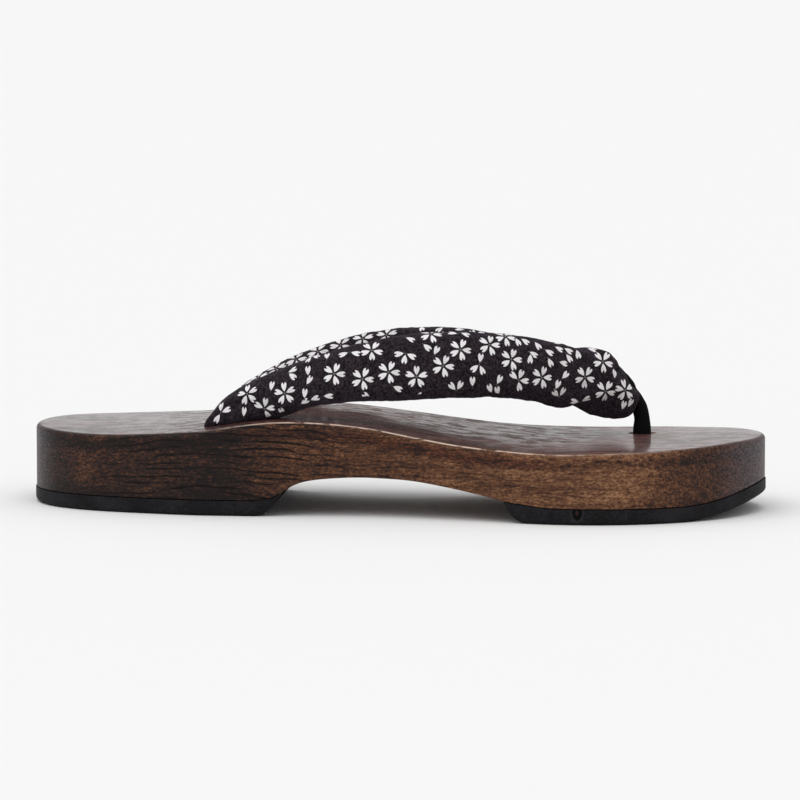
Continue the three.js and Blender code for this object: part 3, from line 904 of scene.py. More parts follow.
@dataclass
class BoardForm:
    """The board's form along its length, in millimetres."""

    length: float = 245.0
    ball_width: float = 91.0
    toe_swing: float = 8.1
    footbed_height: float = 25.6
    crown: float = 0.7
    edge_radius: float = 1.5
    arch_height: float = 13.05
    toe_spring: float = 5.6
    arch_slant: float = 8.0
    slant_fade: tuple = ((0.1, 0.3), (0.76, 0.95))
    pad_thickness: float = 5.0
    seat_gap: float = 0.3
    heel_round: float = 0.17
    heel_power: float = 2.17
    toe_round: float = 0.26
    toe_power: float = 2.0
    spring_start: float = 0.9
    spring_power: float = 2.2
    sideways: float = -1.512
    sections: Table = field(default_factory=lambda: Table(
        ("at", "lean", "half", "top"),
        (
            (0.0, 0.0, 0.43, 1.02), (0.12, 0.0, 0.432, 1.0), (0.25, -0.36, 0.446, 1.071),
            (0.32, -0.56, 0.421, 1.168), (0.38, -0.69, 0.39, 1.214), (0.44, -0.72, 0.361, 1.194),
            (0.5, -0.69, 0.355, 1.134), (0.62, -0.48, 0.412, 0.966), (0.74, -0.04, 0.499, 0.898),
            (0.86, 0.49, 0.547, 0.913), (1.0, 1.0, 0.549, 0.973),
        ),
    ))
    arch: Table = field(default_factory=lambda: Table(
        ("at", "rise"),
        (
            (0.31, 0.0), (0.335, 0.01), (0.362, 0.12), (0.373, 0.26), (0.382, 0.44), (0.392, 0.63),
            (0.408, 0.81), (0.436, 0.93), (0.475, 1.0), (0.514, 0.99), (0.553, 0.93), (0.593, 0.76),
            (0.633, 0.54), (0.66, 0.37), (0.681, 0.23), (0.705, 0.14), (0.735, 0.03), (0.76, 0.0),
        ),
    ))

    def x(self, at: Array) -> Array:
        """Place along X of a share of the length."""
        return (np.asarray(at) - 0.5) * self.length

    def half_width(self, at: Array) -> Array:
        """Half the board's width."""
        in_heel = np.clip((self.heel_round - at) / self.heel_round, 0, 1)
        in_toe = np.clip((at - 1 + self.toe_round) / self.toe_round, 0, 1)
        heel = (1 - in_heel**self.heel_power) ** (1 / self.heel_power)
        toe = (1 - in_toe**self.toe_power) ** (1 / self.toe_power)
        return self.sections.read("half", at) * self.ball_width * heel * toe

    def middle(self, at: Array) -> Array:
        """The middle line's place along Y."""
        return self.sections.read("lean", at) * self.toe_swing + self.sideways

    def footbed(self, at: Array) -> Array:
        """Height of the footbed's edge."""
        return self.sections.read("top", at) * self.footbed_height

    def along_row(self, at: Array, share: float) -> Array:
        """Place of a row across the board; rows under the arch run slanted, further back on the inner side.

        Args:
            at: the row's place at the outer side.
            share: share of the way to the inner side.

        Returns:
            Shares of the length.
        """
        at = np.asarray(at, float)
        full = np.ones_like(at)
        for fade, sign in zip(self.slant_fade, (1, -1)):
            t = np.clip((at - fade[0]) / (fade[1] - fade[0]), 0, 1)
            t = t * t * (3 - 2 * t)
            full = full * (t if sign > 0 else 1 - t)
        return at - self.arch_slant / self.length * full * share

    def side_of_row(self, at: Array, side: Side) -> Array:
        """Place where a row meets one side."""
        return self.along_row(at, 1.0 if side is Side.INNER else 0.0)

    def toe_lift(self, at: Array) -> Array:
        """Rise of the underside at the toe."""
        share = np.maximum(at - self.spring_start, 0) / (1 - self.spring_start)
        return self.toe_spring * share**self.spring_power

    def underside(self, at: Array) -> Array:
        """Height of the underside."""
        at = np.asarray(at, float)
        seat = self.pad_thickness + self.seat_gap
        keys = self.arch.keys
        inside = (at > keys[0]) & (at < keys[-1])
        rise = np.where(inside, self.arch.read("rise", at), 0.0)
        return seat + (self.arch_height - seat) * rise + self.toe_lift(at)

    def surface(self, points: Array) -> Array:
        """Height of the footbed over places in the plan.

        Args:
            points: places, by X and Y.

        Returns:
            The heights.
        """
        at = np.clip(points[..., 0] / self.length + 0.5, 0.02, 0.98)
        half = self.half_width(at)
        across = np.clip((points[..., 1] - self.middle(at)) / half, -1, 1)
        return self.footbed(at) + self.crown * half / (self.ball_width / 2) * (1 - across**2)

    def edge(self, at: Array, side: int, inset: Array) -> Array:
        """Points of the outline, moved inwards.

        Args:
            at: shares of the length.
            side: the sign of Y.
            inset: how far inwards.

        Returns:
            Points by X and Y.
        """
        at = np.asarray(at, float)
        step = 1e-4
        before, after = np.maximum(at - step, 0), np.minimum(at + step, 1)
        across = lambda place: self.middle(place) + side * self.half_width(place)
        run, rise = self.x(after) - self.x(before), across(after) - across(before)
        outward = unit(np.stack([-rise * side, run * side], -1))
        outward[at <= 0] = (-1, 0)
        outward[at >= 1] = (1, 0)
        return np.stack([self.x(at), across(at)], -1) - outward * np.asarray(inset)[..., None]

    def stations(self, cap: int, middle: int) -> Array:
        """Shares of the length where the skin has rings, close at the round ends."""
        turn = 1 - np.cos(QUARTER * np.arange(cap + 1) / cap)
        heel = self.heel_round * turn
        toe = 1 - self.toe_round * turn
        between = np.linspace(self.heel_round, 1 - self.toe_round, middle + 1)[1:-1]
        return np.unique(np.concatenate([heel, between, toe]).round(9))


@dataclass
class SoleBoard:
    """The wooden board with its three strap holes."""

    form: BoardForm
    finish: StainedWood = StainedWood()
    holes: tuple = ((-52.92, -28.512, 9.0), (-58.8, 20.488, 9.0), (80.4825, 14.988, 8.4))
    mouth: float = 0.5
    carving: float = 0.14
    carving_wave: float = 46.0
    cutter_below: float = 5.0
    cutter_flare: tuple = (3.0, 4.0)
    cutter_sides: int = 72
    mouth_rows: int = 5
    sharp_angle: float = 50.0
    cap_steps: int = 46
    middle_steps: int = 120
    wall_rows: int = 10
    edge_rows: int = 8
    bed_columns: int = 44
    base_columns: int = 12

    def ring_column(self, at: Array, side: Side) -> tuple:
        """One side's points from foot to footbed, with their distance from the top edge."""
        foot = self.form.underside(at)
        at = self.form.side_of_row(at, side)
        top = self.form.footbed(at)
        r = self.form.edge_radius
        rows, rims = [], []
        for k in range(self.wall_rows):
            z = foot + (top - r - foot) * k / self.wall_rows
            rows.append(np.column_stack([self.form.edge(at, side.value, 0 * at), z]))
            rims.append(z - (top - r))
        for k in range(self.edge_rows + 1):
            turn = QUARTER * k / self.edge_rows
            inset = np.full_like(at, r * (1 - math.cos(turn)))
            z = top - r * (1 - math.sin(turn))
            rows.append(np.column_stack([self.form.edge(at, side.value, inset), z]))
            rims.append(np.full_like(at, r * turn))
        return rows, rims

    def skin(self) -> tuple:
        """The board's outer skin and its rim distances."""
        at = self.form.stations(self.cap_steps, self.middle_steps)
        r = self.form.edge_radius
        near, near_rim = self.ring_column(at, Side.OUTER)
        far, far_rim = self.ring_column(at, Side.INNER)
        outer, inner = near[-1], far[-1]
        crown = self.form.crown * self.form.half_width(at) / (self.form.ball_width / 2)
        bed, bed_rim = [], []
        for k in range(1, self.bed_columns):
            share = 0.5 - 0.5 * math.cos(math.pi * k / self.bed_columns)
            row = outer * (1 - share) + inner * share
            row[:, 2] = self.form.footbed(self.form.along_row(at, share)) + crown * (1 - (2 * share - 1) ** 2)
            bed.append(row)
            width = np.linalg.norm(inner - outer, axis=1)
            bed_rim.append(r * QUARTER + width * min(share, 1 - share))
        base, base_rim = [], []
        for k in range(1, self.base_columns):
            share = k / self.base_columns
            base.append(far[0] * (1 - share) + near[0] * share)
            base_rim.append(near_rim[0])
        rings = np.stack(near + bed + far[::-1] + base, axis=1)
        rims = np.stack(near_rim + bed_rim + far_rim[::-1] + base_rim, axis=1)
        return rings, rims.ravel()

    def build(self) -> bpy.types.Object:
        """Makes the board.

        Returns:
            The object.
        """
        rings, rims = self.skin()
        carved = wave(rings, self.carving_wave, 5, 2) * self.carving
        rings[..., 2] += np.where(rims.reshape(rings.shape[:2]) > 0, carved, 0)
        board = Skin.over(rings, Seam.OPEN).object("board")
        carry(board, "rim", rims)
        weld(board)
        carve(board, [self.bore(*hole) for hole in self.holes])
        smooth(board, self.sharp_angle)
        return finish_piece(board, self.finish, "sole_board")

    def bore(self, x: float, y: float, diameter: float) -> bpy.types.Object:
        """A cutter for one strap hole with a softened mouth.

        Args:
            x: its middle along X.
            y: its middle along Y.
            diameter: the hole's diameter.

        Returns:
            The cutter.
        """
        top = float(self.form.surface(np.array([x, y])))
        r = diameter / 2
        flare, above = self.cutter_flare
        profile = [(r, -self.cutter_below), (r, top - 2 * self.mouth)]
        for k in range(1, self.mouth_rows + 1):
            turn = QUARTER * k / self.mouth_rows
            profile.append((r + self.mouth * (1 - math.cos(turn)), top - self.mouth * (1 - math.sin(turn))))
        profile.append((r + self.mouth + flare, top + above))
        turns = np.linspace(0, 2 * math.pi, self.cutter_sides, endpoint=False)
        rings = np.array([[(x + d * math.cos(t), y + d * math.sin(t), z) for t in turns] for d, z in profile])
        cutter = Skin.over(rings, Seam.CAPPED).object("cutter")
        weld(cutter)
        return cutter


@dataclass
class RubberPads:
    """The rubber pads under the heel and the forefoot.

    A tip holds the share of the board's length where a pad ends, the share that its roll takes, and the
    power by which the roll rises.
    """

    form: BoardForm
    finish: PadRubber = PadRubber()
    proud: float = 0.3
    edge_radius: float = 1.8
    round_limit: float = 0.45
    tip_thickness: float = 0.6
    edge_rows: int = 8
    wall_rows: int = 3
    columns: int = 14
    roll_steps: int = 20
    cap_steps: int = 36
    middle_steps: int = 90
    station_gap: float = 0.003
    sharp_angle: float = 50.0
    heel_tip: tuple = (0.373, 0.034, 2.2)
    toe_tip: tuple = (0.681, 0.043, 4.0)

    def ring(self, at: Array, bottom: Array) -> Array:
        """A pad's sections at some places.

        Args:
            at: shares of the length.
            bottom: heights of its underside.

        Returns:
            Rings of points.
        """
        top = self.form.underside(at) - self.form.seat_gap
        r = np.minimum(self.edge_radius, (top - bottom) * self.round_limit)

        def wall(side: Side) -> list:
            place = self.form.side_of_row(at, side)
            rows = []
            for k in range(self.wall_rows):
                z = top + (bottom + r - top) * k / self.wall_rows
                rows.append(np.column_stack([self.form.edge(place, side.value, 0 * at - self.proud), z]))
            for k in range(self.edge_rows + 1):
                turn = QUARTER * k / self.edge_rows
                inset = r * (1 - math.cos(turn)) - self.proud
                z = bottom + r * (1 - math.sin(turn))
                rows.append(np.column_stack([self.form.edge(place, side.value, inset), z]))
            return rows

        outer, inner = wall(Side.OUTER), wall(Side.INNER)
        shares = [k / self.columns for k in range(1, self.columns)]
        roof = [outer[0] * (1 - s) + inner[0] * s for s in shares]
        sole = [inner[-1] * (1 - s) + outer[-1] * s for s in shares]
        return np.stack(outer[::-1] + roof + inner + sole, axis=1)

    def pad(self, name: str, tip: float, roll: float, power: float, towards_toe: bool) -> bpy.types.Object:
        """One pad from a round end of the board to its rolled tip under the arch.

        Args:
            name: the piece's name.
            tip: share of the length where it ends.
            roll: length of its roll.
            power: how fast the roll rises.
            towards_toe: whether the pad lies before the tip.

        Returns:
            The object.
        """
        sign = 1 if towards_toe else -1
        start = tip + sign * roll
        stations = self.form.stations(self.cap_steps, self.middle_steps)
        kept = stations[(stations - start) * sign > self.station_gap]
        rolled = tip + sign * roll * np.arange(self.roll_steps + 1) / self.roll_steps
        at = np.sort(np.concatenate([kept, rolled]))
        tip_height = float(self.form.underside(tip)) - self.form.seat_gap - self.tip_thickness
        share = np.maximum((start - at) * sign / roll, 0)
        rings = self.ring(at, self.form.toe_lift(at) + tip_height * share**power)
        pad = Skin.over(rings, Seam.CAPPED).object(name)
        weld(pad)
        smooth(pad, self.sharp_angle)
        return pad

    def build(self) -> list:
        """Makes both pads.

        Returns:
            The objects.
        """
        heel = self.pad("heel_rubber", *self.heel_tip, False)
        toe = self.pad("toe_rubber", *self.toe_tip, True)
        return [finish_piece(heel, self.finish, "heel_pad"), finish_piece(toe, self.finish, "toe_pad")]


@dataclass
class PostCord:
    """The black cord that loops the strap's vertex and goes down the front hole."""

    form: BoardForm
    finish: PostCloth = PostCloth()
    hole: tuple = (80.4825, 14.988)
    cord: float = 5.3
    loop: float = 5.0
    loop_length: float = 12.4
    loop_height: float = 9.2
    loop_tilt: float = 20.0
    loop_setback: float = 10.4
    loop_lift: float = 12.8
    sides: int = 40
    loop_steps: int = 96
    shaft_steps: int = 90
    shaft_start: float = 0.04
    voxel: float = 0.32
    ripple: float = 0.09
    ripple_wave: float = 7.0
    shaft: Table = field(default_factory=lambda: Table(
        ("back", "up", "girth"),
        (
            (0.0, -2.6, 1.0), (0.0, -1.75, 1.14), (0.0, -1.33, 1.12), (0.01, -1.05, 1.0), (0.05, -0.78, 1.0),
            (0.145, -0.48, 1.0), (0.28, -0.2, 0.98), (0.4, 0.02, 0.9), (0.5, 0.19, 0.7),
        ),
        numbered=True,
    ))

    @property
    def heart(self) -> Array:
        """The loop's middle."""
        x, y = self.hole
        return np.array([x - self.loop_setback, y, self.form.footbed_height + self.loop_lift])

    def loop_path(self, shares: Array) -> Array:
        """The loop's oval path, its front end dipped."""
        turn, tilt = 2 * math.pi * shares, math.radians(self.loop_tilt)
        x, z = self.loop_length / 2 * np.cos(turn), self.loop_height / 2 * np.sin(turn)
        c, s = math.cos(tilt), math.sin(tilt)
        return np.column_stack([x * c + z * s, 0 * x, z * c - x * s]) + self.heart

    def shaft_path(self, shares: Array) -> Array:
        """The shaft's path from inside its hole to the front of the loop."""
        places = shares * (len(self.shaft.keys) - 1)
        x = self.hole[0] - self.loop_length * self.shaft.read("back", places)
        z = self.heart[2] + self.loop_height * self.shaft.read("up", places)
        return np.column_stack([x, 0 * x + self.hole[1], z])

    def tube(self, path: Array, radii: Array, ends: Seam) -> Skin:
        """A round tube along a path in the post's upright plane."""
        if ends is Seam.CLOSED:
            along = unit(np.roll(path, -1, axis=0) - np.roll(path, 1, axis=0))
        else:
            along = unit(np.gradient(path, axis=0))
        sideways = np.broadcast_to(np.array([0.0, 1.0, 0.0]), along.shape)
        upward = np.cross(sideways, along)
        turns = 2 * math.pi * np.arange(self.sides) / self.sides
        c, s = np.cos(turns)[None, :, None], np.sin(turns)[None, :, None]
        rings = path[:, None] + radii[:, None, None] * (sideways[:, None] * c + upward[:, None] * s)
        return Skin.over(rings, ends)

    def skin(self, clearance: float = 0.0) -> list:
        """The loop and the shaft as closed tubes.

        Args:
            clearance: how much wider than the cord they are made.

        Returns:
            The two skins.
        """
        steps = self.loop_steps
        path = self.loop_path(np.arange(steps) / steps)
        loop = self.tube(path, np.full(steps, self.loop / 2 + clearance), Seam.CLOSED)
        shares = np.linspace(self.shaft_start, 1, self.shaft_steps)
        girth = self.shaft.read("girth", shares * (len(self.shaft.keys) - 1))
        shaft = self.tube(self.shaft_path(shares), self.cord / 2 * girth + clearance, Seam.CAPPED)
        return [loop, shaft]

    def build(self) -> bpy.types.Object:
        """Makes the cord.

        Returns:
            The object.
        """
        loop, shaft = self.skin()
        post = loop.joined(shaft).object("toe_cord")
        weld(post)
        even_skin(post, self.voxel, 4)
        points = mesh_points(post)
        normals = read_all(post.data.vertices, "normal", 3)
        height = wave(points, self.ripple_wave, 11, 2) * self.ripple
        move_points(post, points + normals * height[:, None])
        return finish_piece(post, self.finish, "toe_post")


@dataclass(frozen=True)
class Arm:
    """One arm of the strap: its rear hole and the sizes of its arch."""

    side: Side
    hole: tuple
    rise: float
    bow: float
    broad: float
    setback: float


@dataclass(frozen=True)
class Crease:
    """A pressed line in the cloth through points of a place along X and a turn round the arm."""

    points: tuple
    depth: float
    width: float
    puff: float = 0.4
    puff_away: float = 2.1


@dataclass(frozen=True)
class Pull:
    """A soft push on the padding about a place, in millimetres."""

    place: tuple
    reach: float
    shift: tuple


@dataclass(frozen=True)
class Bloom:
    """One printed blossom: middle in X, Y and Z, direction of one petal, and its petals as bits."""

    x: float
    y: float
    z: float
    turn: float
    petals: int = 31

    @property
    def heart(self) -> Array:
        """Its middle."""
        return np.array([self.x, self.y, self.z])


@dataclass(frozen=True)
class BlossomChart:
    """Blossoms noted on the photograph, in its pixels, and where they lie on the strap.

    A whole blossom has its middle, the direction of one petal in degrees from the photograph's right, and
    its petals as bits. A loose petal has its own middle and direction.
    """

    whole: tuple = (
        (220.6, 413, 90, 21), (263.9, 409.4, 84, 27), (285.5, 393.8, 28, 31), (248, 394.4, 32, 31),
        (334.4, 374.4, 0, 31), (361.9, 378.1, -5, 31), (388.8, 372.5, -4, 31), (416.3, 377.5, 90, 31),
        (371.3, 349.4, -86, 31), (405, 352.5, -100, 19), (312.5, 357.5, 90, 31), (349.5, 351.5, -162, 5),
        (443, 365.6, 68, 31), (461, 349.4, -8, 31), (478.8, 363.8, 80, 13), (488.8, 344.4, 77, 31),
        (511.3, 358.8, 73, 31), (518, 381, 66, 27), (541.3, 378, 72, 31), (585, 376.9, -94, 31),
        (605, 391.3, -90, 31), (623.8, 390, 100, 31), (603.5, 361.9, -85, 31), (430.6, 333.8, 60, 31),
        (505, 336.3, 60, 31), (456, 391, 54, 3), (558.5, 397, 54, 3), (580, 401, 20, 5), (243, 386, 40, 31),
        (258, 377.5, 80, 31), (276, 368.5, 20, 31), (296, 359.5, 60, 31), (318, 351, 0, 31),
        (340, 344.5, 40, 31), (362, 339, 80, 31), (386, 335, 20, 31),
    )
    loose: tuple = (
        (293, 370, 30), (293, 376, -40), (308, 370, 90), (309.4, 379.4, 60), (327.5, 355.6, 90),
        (305, 392.5, 85), (306, 402, 30), (316, 398, 20), (329, 395.6, 0), (244, 412, 80), (271.3, 385.6, 80),
        (427, 348, -40), (437, 350, 60), (410.6, 338.8, -20), (398.8, 388, -20), (452.5, 332.5, 170),
        (465.6, 335, -20), (518.8, 341.9, -55), (525.6, 340.6, -30), (538.8, 345.6, -45),
        (534.4, 353.8, -30), (531, 360, -90), (550, 352.5, -30), (550.6, 362.5, -60), (560, 349.4, -20),
        (568.8, 350.6, -25), (569.4, 357.5, -50), (564.4, 363, -15), (579.4, 355, -60), (565.6, 375, 45),
        (557.5, 384.4, 60), (500, 378.8, 60), (490.6, 388, 100), (498.8, 390, 90), (473, 381.3, 85),
        (623, 403, 70), (629, 400.6, 60), (615, 373, 90), (592, 350.6, -20), (557.5, 344.4, 0),
    )
    petal_reach: float = 2.3
    away_limit: float = 0.3
    same_point: float = 1e-7

    def blooms(self, studio: "Studio", node: bpy.types.Object) -> list:
        """Casts each noted blossom from the camera onto the strap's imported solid.

        Args:
            studio: whose camera sees the photograph.
            node: the solid, which isn't changed.

        Returns:
            The blossoms, to a tenth of a millimetre and a degree.
        """
        shell = bmesh.new()
        shell.from_mesh(node.data)
        bmesh.ops.remove_doubles(shell, verts=shell.verts, dist=self.same_point)
        bmesh.ops.triangulate(shell, faces=shell.faces)
        shell.normal_update()
        shell.faces.ensure_lookup_table()
        tree = BVHTree.FromBMesh(shell)
        made = []
        for u, v, degrees, petals in [*self.whole, *((*row, 0) for row in self.loose)]:
            way, sweep = studio.sight(u, v, math.radians(degrees))
            place, normal = self.meet(shell, tree, np.array(studio.camera_place), way)
            right = unit(np.array([1.0, 0.0, 0.0]) - normal * normal[0])
            up = np.cross(normal, right)
            drawn = sweep - way * (sweep @ normal) / (way @ normal)
            turn = math.atan2(drawn @ up, drawn @ right)
            heart = place / MM
            if not petals:
                heart = heart - self.petal_reach * (right * math.cos(turn) + up * math.sin(turn))
            made.append(Bloom(*np.round(heart, 1), round(math.degrees(turn) % 360), petals or 1))
        shell.free()
        return made

    def meet(self, shell: bmesh.types.BMesh, tree: BVHTree, eye: Array, way: Array) -> tuple:
        """Where a line of sight meets the solid, or else its facing point nearest the line.

        Args:
            shell: the solid's mesh.
            tree: its faces, for casting.
            eye: where the line starts.
            way: its direction.

        Returns:
            The place and the smooth normal there.
        """
        place, _, index, _ = tree.ray_cast(Vector(eye), Vector(way))
        if place is not None:
            corners = shell.faces[index].verts
            shares = poly_3d_calc([corner.co for corner in corners], place)
            normal = sum(share * np.array(corner.normal) for share, corner in zip(shares, corners))
            return np.array(place), unit(normal)
        points = np.array([vertex.co for vertex in shell.verts])
        normals = np.array([vertex.normal for vertex in shell.verts])
        ahead = points - eye
        off = np.linalg.norm(ahead - np.outer(ahead @ way, way), axis=1)
        nearest = np.argmin(np.where(normals @ way > self.away_limit, np.inf, off))
        return points[nearest], normals[nearest]


@dataclass
class ClothStrap:
    """The padded cloth strap: two arms joined at the vertex that the post's cord loops."""

    form: BoardForm
    post: PostCord
    studio: "Studio"
    finish: BlossomCloth = BlossomCloth()
    chart: BlossomChart = BlossomChart()
    outer: Arm = Arm(Side.OUTER, (-52.92, -28.512), 23.5, 18.0, 22.4, 0.0)
    inner: Arm = Arm(Side.INNER, (-58.8, 20.488), 21.6, 12.0, 21.0, 10.0)
    thickness: float = 10.2
    lean: float = 16.0
    fullness: float = 2.3
    core: float = 15.0
    bore: float = 9.0
    sides: int = 96
    steps: int = 260
    voxel: float = 0.55
    seam_outside: float = 152.0
    seam_inside: float = -110.0
    spacing: float = 9.0
    charted_turns: tuple = (-60.0, 152.0)
    seed: int = 21
    tries: int = 12000
    ripple: float = 0.18
    ripple_wave: float = 9.0
    slack: float = 0.28
    slack_wave: float = 24.0
    groove_gap: float = 0.15
    bed_gap: float = 0.15
    sunk: float = 0.3
    seam_reach: float = 2.5
    kinds: tuple = (31, 31, 31, 27, 15)
    loose_kinds: tuple = (1,)
    loose_spacing: float = 0.7
    petal_share: float = 0.58
    bloom_share: float = 1.15
    plane_reach: float = 2.5
    missing_petal: float = 6.0
    unprinted: tuple = (50.0, 50.0, 0.0)
    sections: Table = field(default_factory=lambda: Table(
        ("along", "bow", "up", "broad", "thick", "lean"),
        (
            (-0.004, 0.0, -0.07, 0.36, 0.8, 0.0), (-0.0015, 0.02, 0.06, 0.40, 0.84, 0.0),
            (0.013, 0.08, 0.185, 0.5, 1.0, 0.1), (0.033, 0.15, 0.275, 0.56, 1.0, 0.3),
            (0.06, 0.23, 0.365, 0.6, 1.0, 0.6), (0.097, 0.34, 0.46, 0.64, 1.0, 0.8),
            (0.151, 0.51, 0.59, 0.675, 1.0, 0.9), (0.223, 0.72, 0.735, 0.72, 1.0, 1.0),
            (0.285, 0.87, 0.825, 0.785, 1.0, 1.0), (0.346, 0.96, 0.895, 0.85, 1.0, 1.0),
            (0.448, 1.0, 0.967, 0.955, 1.0, 1.0), (0.543, 0.98, 1.0, 1.0, 1.0, 1.0),
            (0.628, 0.9, 0.987, 0.98, 1.0, 1.0), (0.707, 0.77, 0.948, 0.94, 1.0, 1.0),
            (0.758, 0.67, 0.894, 0.9, 1.0, 1.0), (0.809, 0.56, 0.826, 0.88, 1.0, 0.9),
            (0.868, 0.4, 0.75, 0.885, 1.0, 0.7), (0.913, 0.28, 0.62, 0.93, 0.98, 0.5),
            (0.945, 0.21, 0.47, 0.8, 0.9, 0.4), (0.972, 0.17, 0.38, 0.46, 0.6, 0.3),
        ),
        numbered=True,
    ))
    outer_creases: tuple = (
        Crease(((50, 172), (57, 125), (66, 85)), 0.7, 1.5),
        Crease(((60, 178), (66, 135), (72, 98)), 0.8, 1.5),
        Crease(((72, 190), (75, 145), (77, 105)), 1.0, 1.5),
        Crease(((55, -25), (60, 15), (66, 45)), 0.4, 1.3),
        Crease(((65, -20), (69, 25), (72, 60)), 0.5, 1.3),
        Crease(((70, -40), (73, 10), (75.5, 60), (77, 100)), 1.1, 1.2),
        Crease(((-50, 60), (-44, 90), (-36, 120)), 0.5, 1.4),
        Crease(((-51, 20), (-46, 40), (-38, 50)), 0.4, 1.3),
    )
    inner_creases: tuple = (
        Crease(((54, 172), (60, 125), (67, 85)), 0.7, 1.5),
        Crease(((64, 178), (68, 135), (73, 98)), 0.8, 1.5),
        Crease(((60, -25), (64, 15), (70, 45)), 0.5, 1.3),
        Crease(((-56, 60), (-50, 90), (-42, 120)), 0.5, 1.4),
    )
    pulls: tuple = (
        Pull((76.0, 8.0, 46.0), 6.0, (-2.4, 0.0, -1.8)),
        Pull((79.0, 12.0, 42.0), 4.0, (-1.0, 0.0, -1.8)),
        Pull((78.5, 8.5, 37.0), 5.0, (1.5, 0.0, 0.0)),
        Pull((75.5, 8.0, 31.0), 5.5, (1.9, 0.0, -0.2)),
        Pull((71.5, 5.0, 51.0), 3.5, (0.9, 0.0, 1.2)),
        Pull((74.0, 6.0, 47.0), 1.8, (-1.3, 0.6, -0.9)),
        Pull((55.5, -7.0, 35.0), 5.5, (0.0, 0.0, -1.3)),
        Pull((-58.0, -35.0, 28.0), 4.5, (-3.6, -0.8, -0.2)),
    )

    def centre(self, arm: Arm, places: Array) -> Array:
        """An arm's middle line.

        Args:
            arm: the arm.
            places: rows of the sections' table, with fractions.

        Returns:
            The points.
        """
        along = self.sections.read("along", places)[:, None]
        way = np.array(arm.hole) * (1 - along) + np.array(self.post.hole) * along
        back = arm.setback * np.maximum(np.sin(math.pi * along[:, 0]), 0)
        x = way[:, 0] - back
        y = way[:, 1] + arm.side.value * arm.bow * self.sections.read("bow", places)
        z = self.form.footbed_height + arm.rise * self.sections.read("up", places)
        return np.column_stack([x, y, z])

    def pressed(self, creases: Iterable[Crease], x: Array, turn: Array, girth: Array) -> Array:
        """How far creases press the cloth in, with a small puff beside each.

        Args:
            creases: the creases.
            x: places along X.
            turn: turns round the arm in degrees.
            girth: the arm's girth there.

        Returns:
            The change of height, negative inwards.
        """
        total = np.zeros(x.shape)
        for crease in creases:
            best = np.full(x.shape, 1e9)
            for (x0, t0), (x1, t1) in zip(crease.points, crease.points[1:]):
                scale = girth / 360
                ax, at = x - x0, ((turn - t0 + 180) % 360 - 180) * scale
                bx, bt = x1 - x0, (t1 - t0) * scale
                share = np.clip((ax * bx + at * bt) / (bx * bx + bt * bt), 0, 1)
                best = np.minimum(best, np.hypot(ax - share * bx, at - share * bt))
            near = best / crease.width
            puff = crease.puff * np.exp(-((near - crease.puff_away) ** 2))
            total += crease.depth * (puff - np.exp(-(near**2)))
        return total

    def arm_rings(self, arm: Arm) -> tuple:
        """An arm's sections and what the cloth needs to know at each of their points.

        Args:
            arm: the arm.

        Returns:
            Rings of points, and turns round the arm and girths of the same shape.
        """
        last = len(self.sections.keys) - 1
        places = np.linspace(0, last, self.steps)
        path = self.centre(arm, places)
        half = 0.25
        ahead = self.centre(arm, np.minimum(places + half, last))
        along = unit(ahead - self.centre(arm, np.maximum(places - half, 0)))
        side = arm.side.value
        inward = unit(np.array([0.0, -side, 0.0]) + along * (side * along[:, 1:2]))
        upright = np.cross(inward, along) * side
        lean = np.radians(self.lean * self.sections.read("lean", places))[:, None]
        broad_axis = upright * np.cos(lean) + inward * np.sin(lean)
        thick_axis = np.cross(broad_axis, along)
        broad = (arm.broad / 2 * self.sections.read("broad", places))[:, None]
        thick = (self.thickness / 2 * self.sections.read("thick", places))[:, None]
        angle = 2 * math.pi * np.arange(self.sides) / self.sides
        c, s = np.cos(angle), np.sin(angle)
        a = np.sign(c) * np.abs(c) ** (2 / self.fullness)
        b = np.sign(s) * np.abs(s) ** (2 / self.fullness)
        offset = broad_axis[:, None] * (broad * a)[..., None] + thick_axis[:, None] * (thick * b)[..., None]
        turn = np.broadcast_to((np.degrees(angle) * side + 180) % 360 - 180, offset.shape[:2])
        steps = np.linalg.norm(np.roll(offset, -1, axis=1) - offset, axis=2)
        girth = np.broadcast_to(steps.sum(1)[:, None], turn.shape)
        rings = path[:, None] + offset
        creases = self.outer_creases if arm.side is Side.OUTER else self.inner_creases
        x = np.broadcast_to(path[:, None, 0], turn.shape)
        slack = wave(rings, self.slack_wave, 3 + side, 3) * self.slack
        height = self.pressed(creases, x, turn, girth) + slack
        fade = np.clip(np.minimum(places, last - places) / 1.5, 0, 1)[:, None]
        rings = rings + unit(offset) * (height * fade)[..., None]
        return rings, turn, girth

    def one_cloth(self, skins: Sequence[Skin]) -> bpy.types.Object:
        """Joins the arms and the vertex to one padded form with the groove of the post's loop.

        Args:
            skins: closed skins that overlap.

        Returns:
            The object.
        """
        strap = skins[0].joined(*skins[1:]).object("blossom_strap")
        weld(strap)
        even_skin(strap, self.voxel, 6)
        for skin in self.post.skin(self.groove_gap):
            cutter = skin.object("cutter")
            weld(cutter)
            carve(strap, [cutter])
        even_skin(strap, self.voxel, 3)
        return strap

    def seat(self, points: Array) -> Array:
        """Keeps the cloth on the footbed and inside its rear holes.

        Args:
            points: the strap's points.

        Returns:
            The points, moved.
        """
        points = points.copy()
        bed = self.form.surface(points)
        limit = self.bore / 2 - self.bed_gap
        free = np.ones(len(points), bool)
        for arm in (self.outer, self.inner):
            hole = np.array(arm.hole)
            away = points[:, :2] - hole
            reach = np.linalg.norm(away, axis=1)
            down = (points[:, 2] < bed - self.sunk) & (reach < self.bore) & (reach > limit)
            points[down, :2] = hole + away[down] * (limit / reach[down])[:, None]
            free &= (reach > limit) & ~down
        rest = free & (points[:, 2] < bed + self.bed_gap)
        points[rest, 2] = bed[rest] + self.bed_gap
        return points

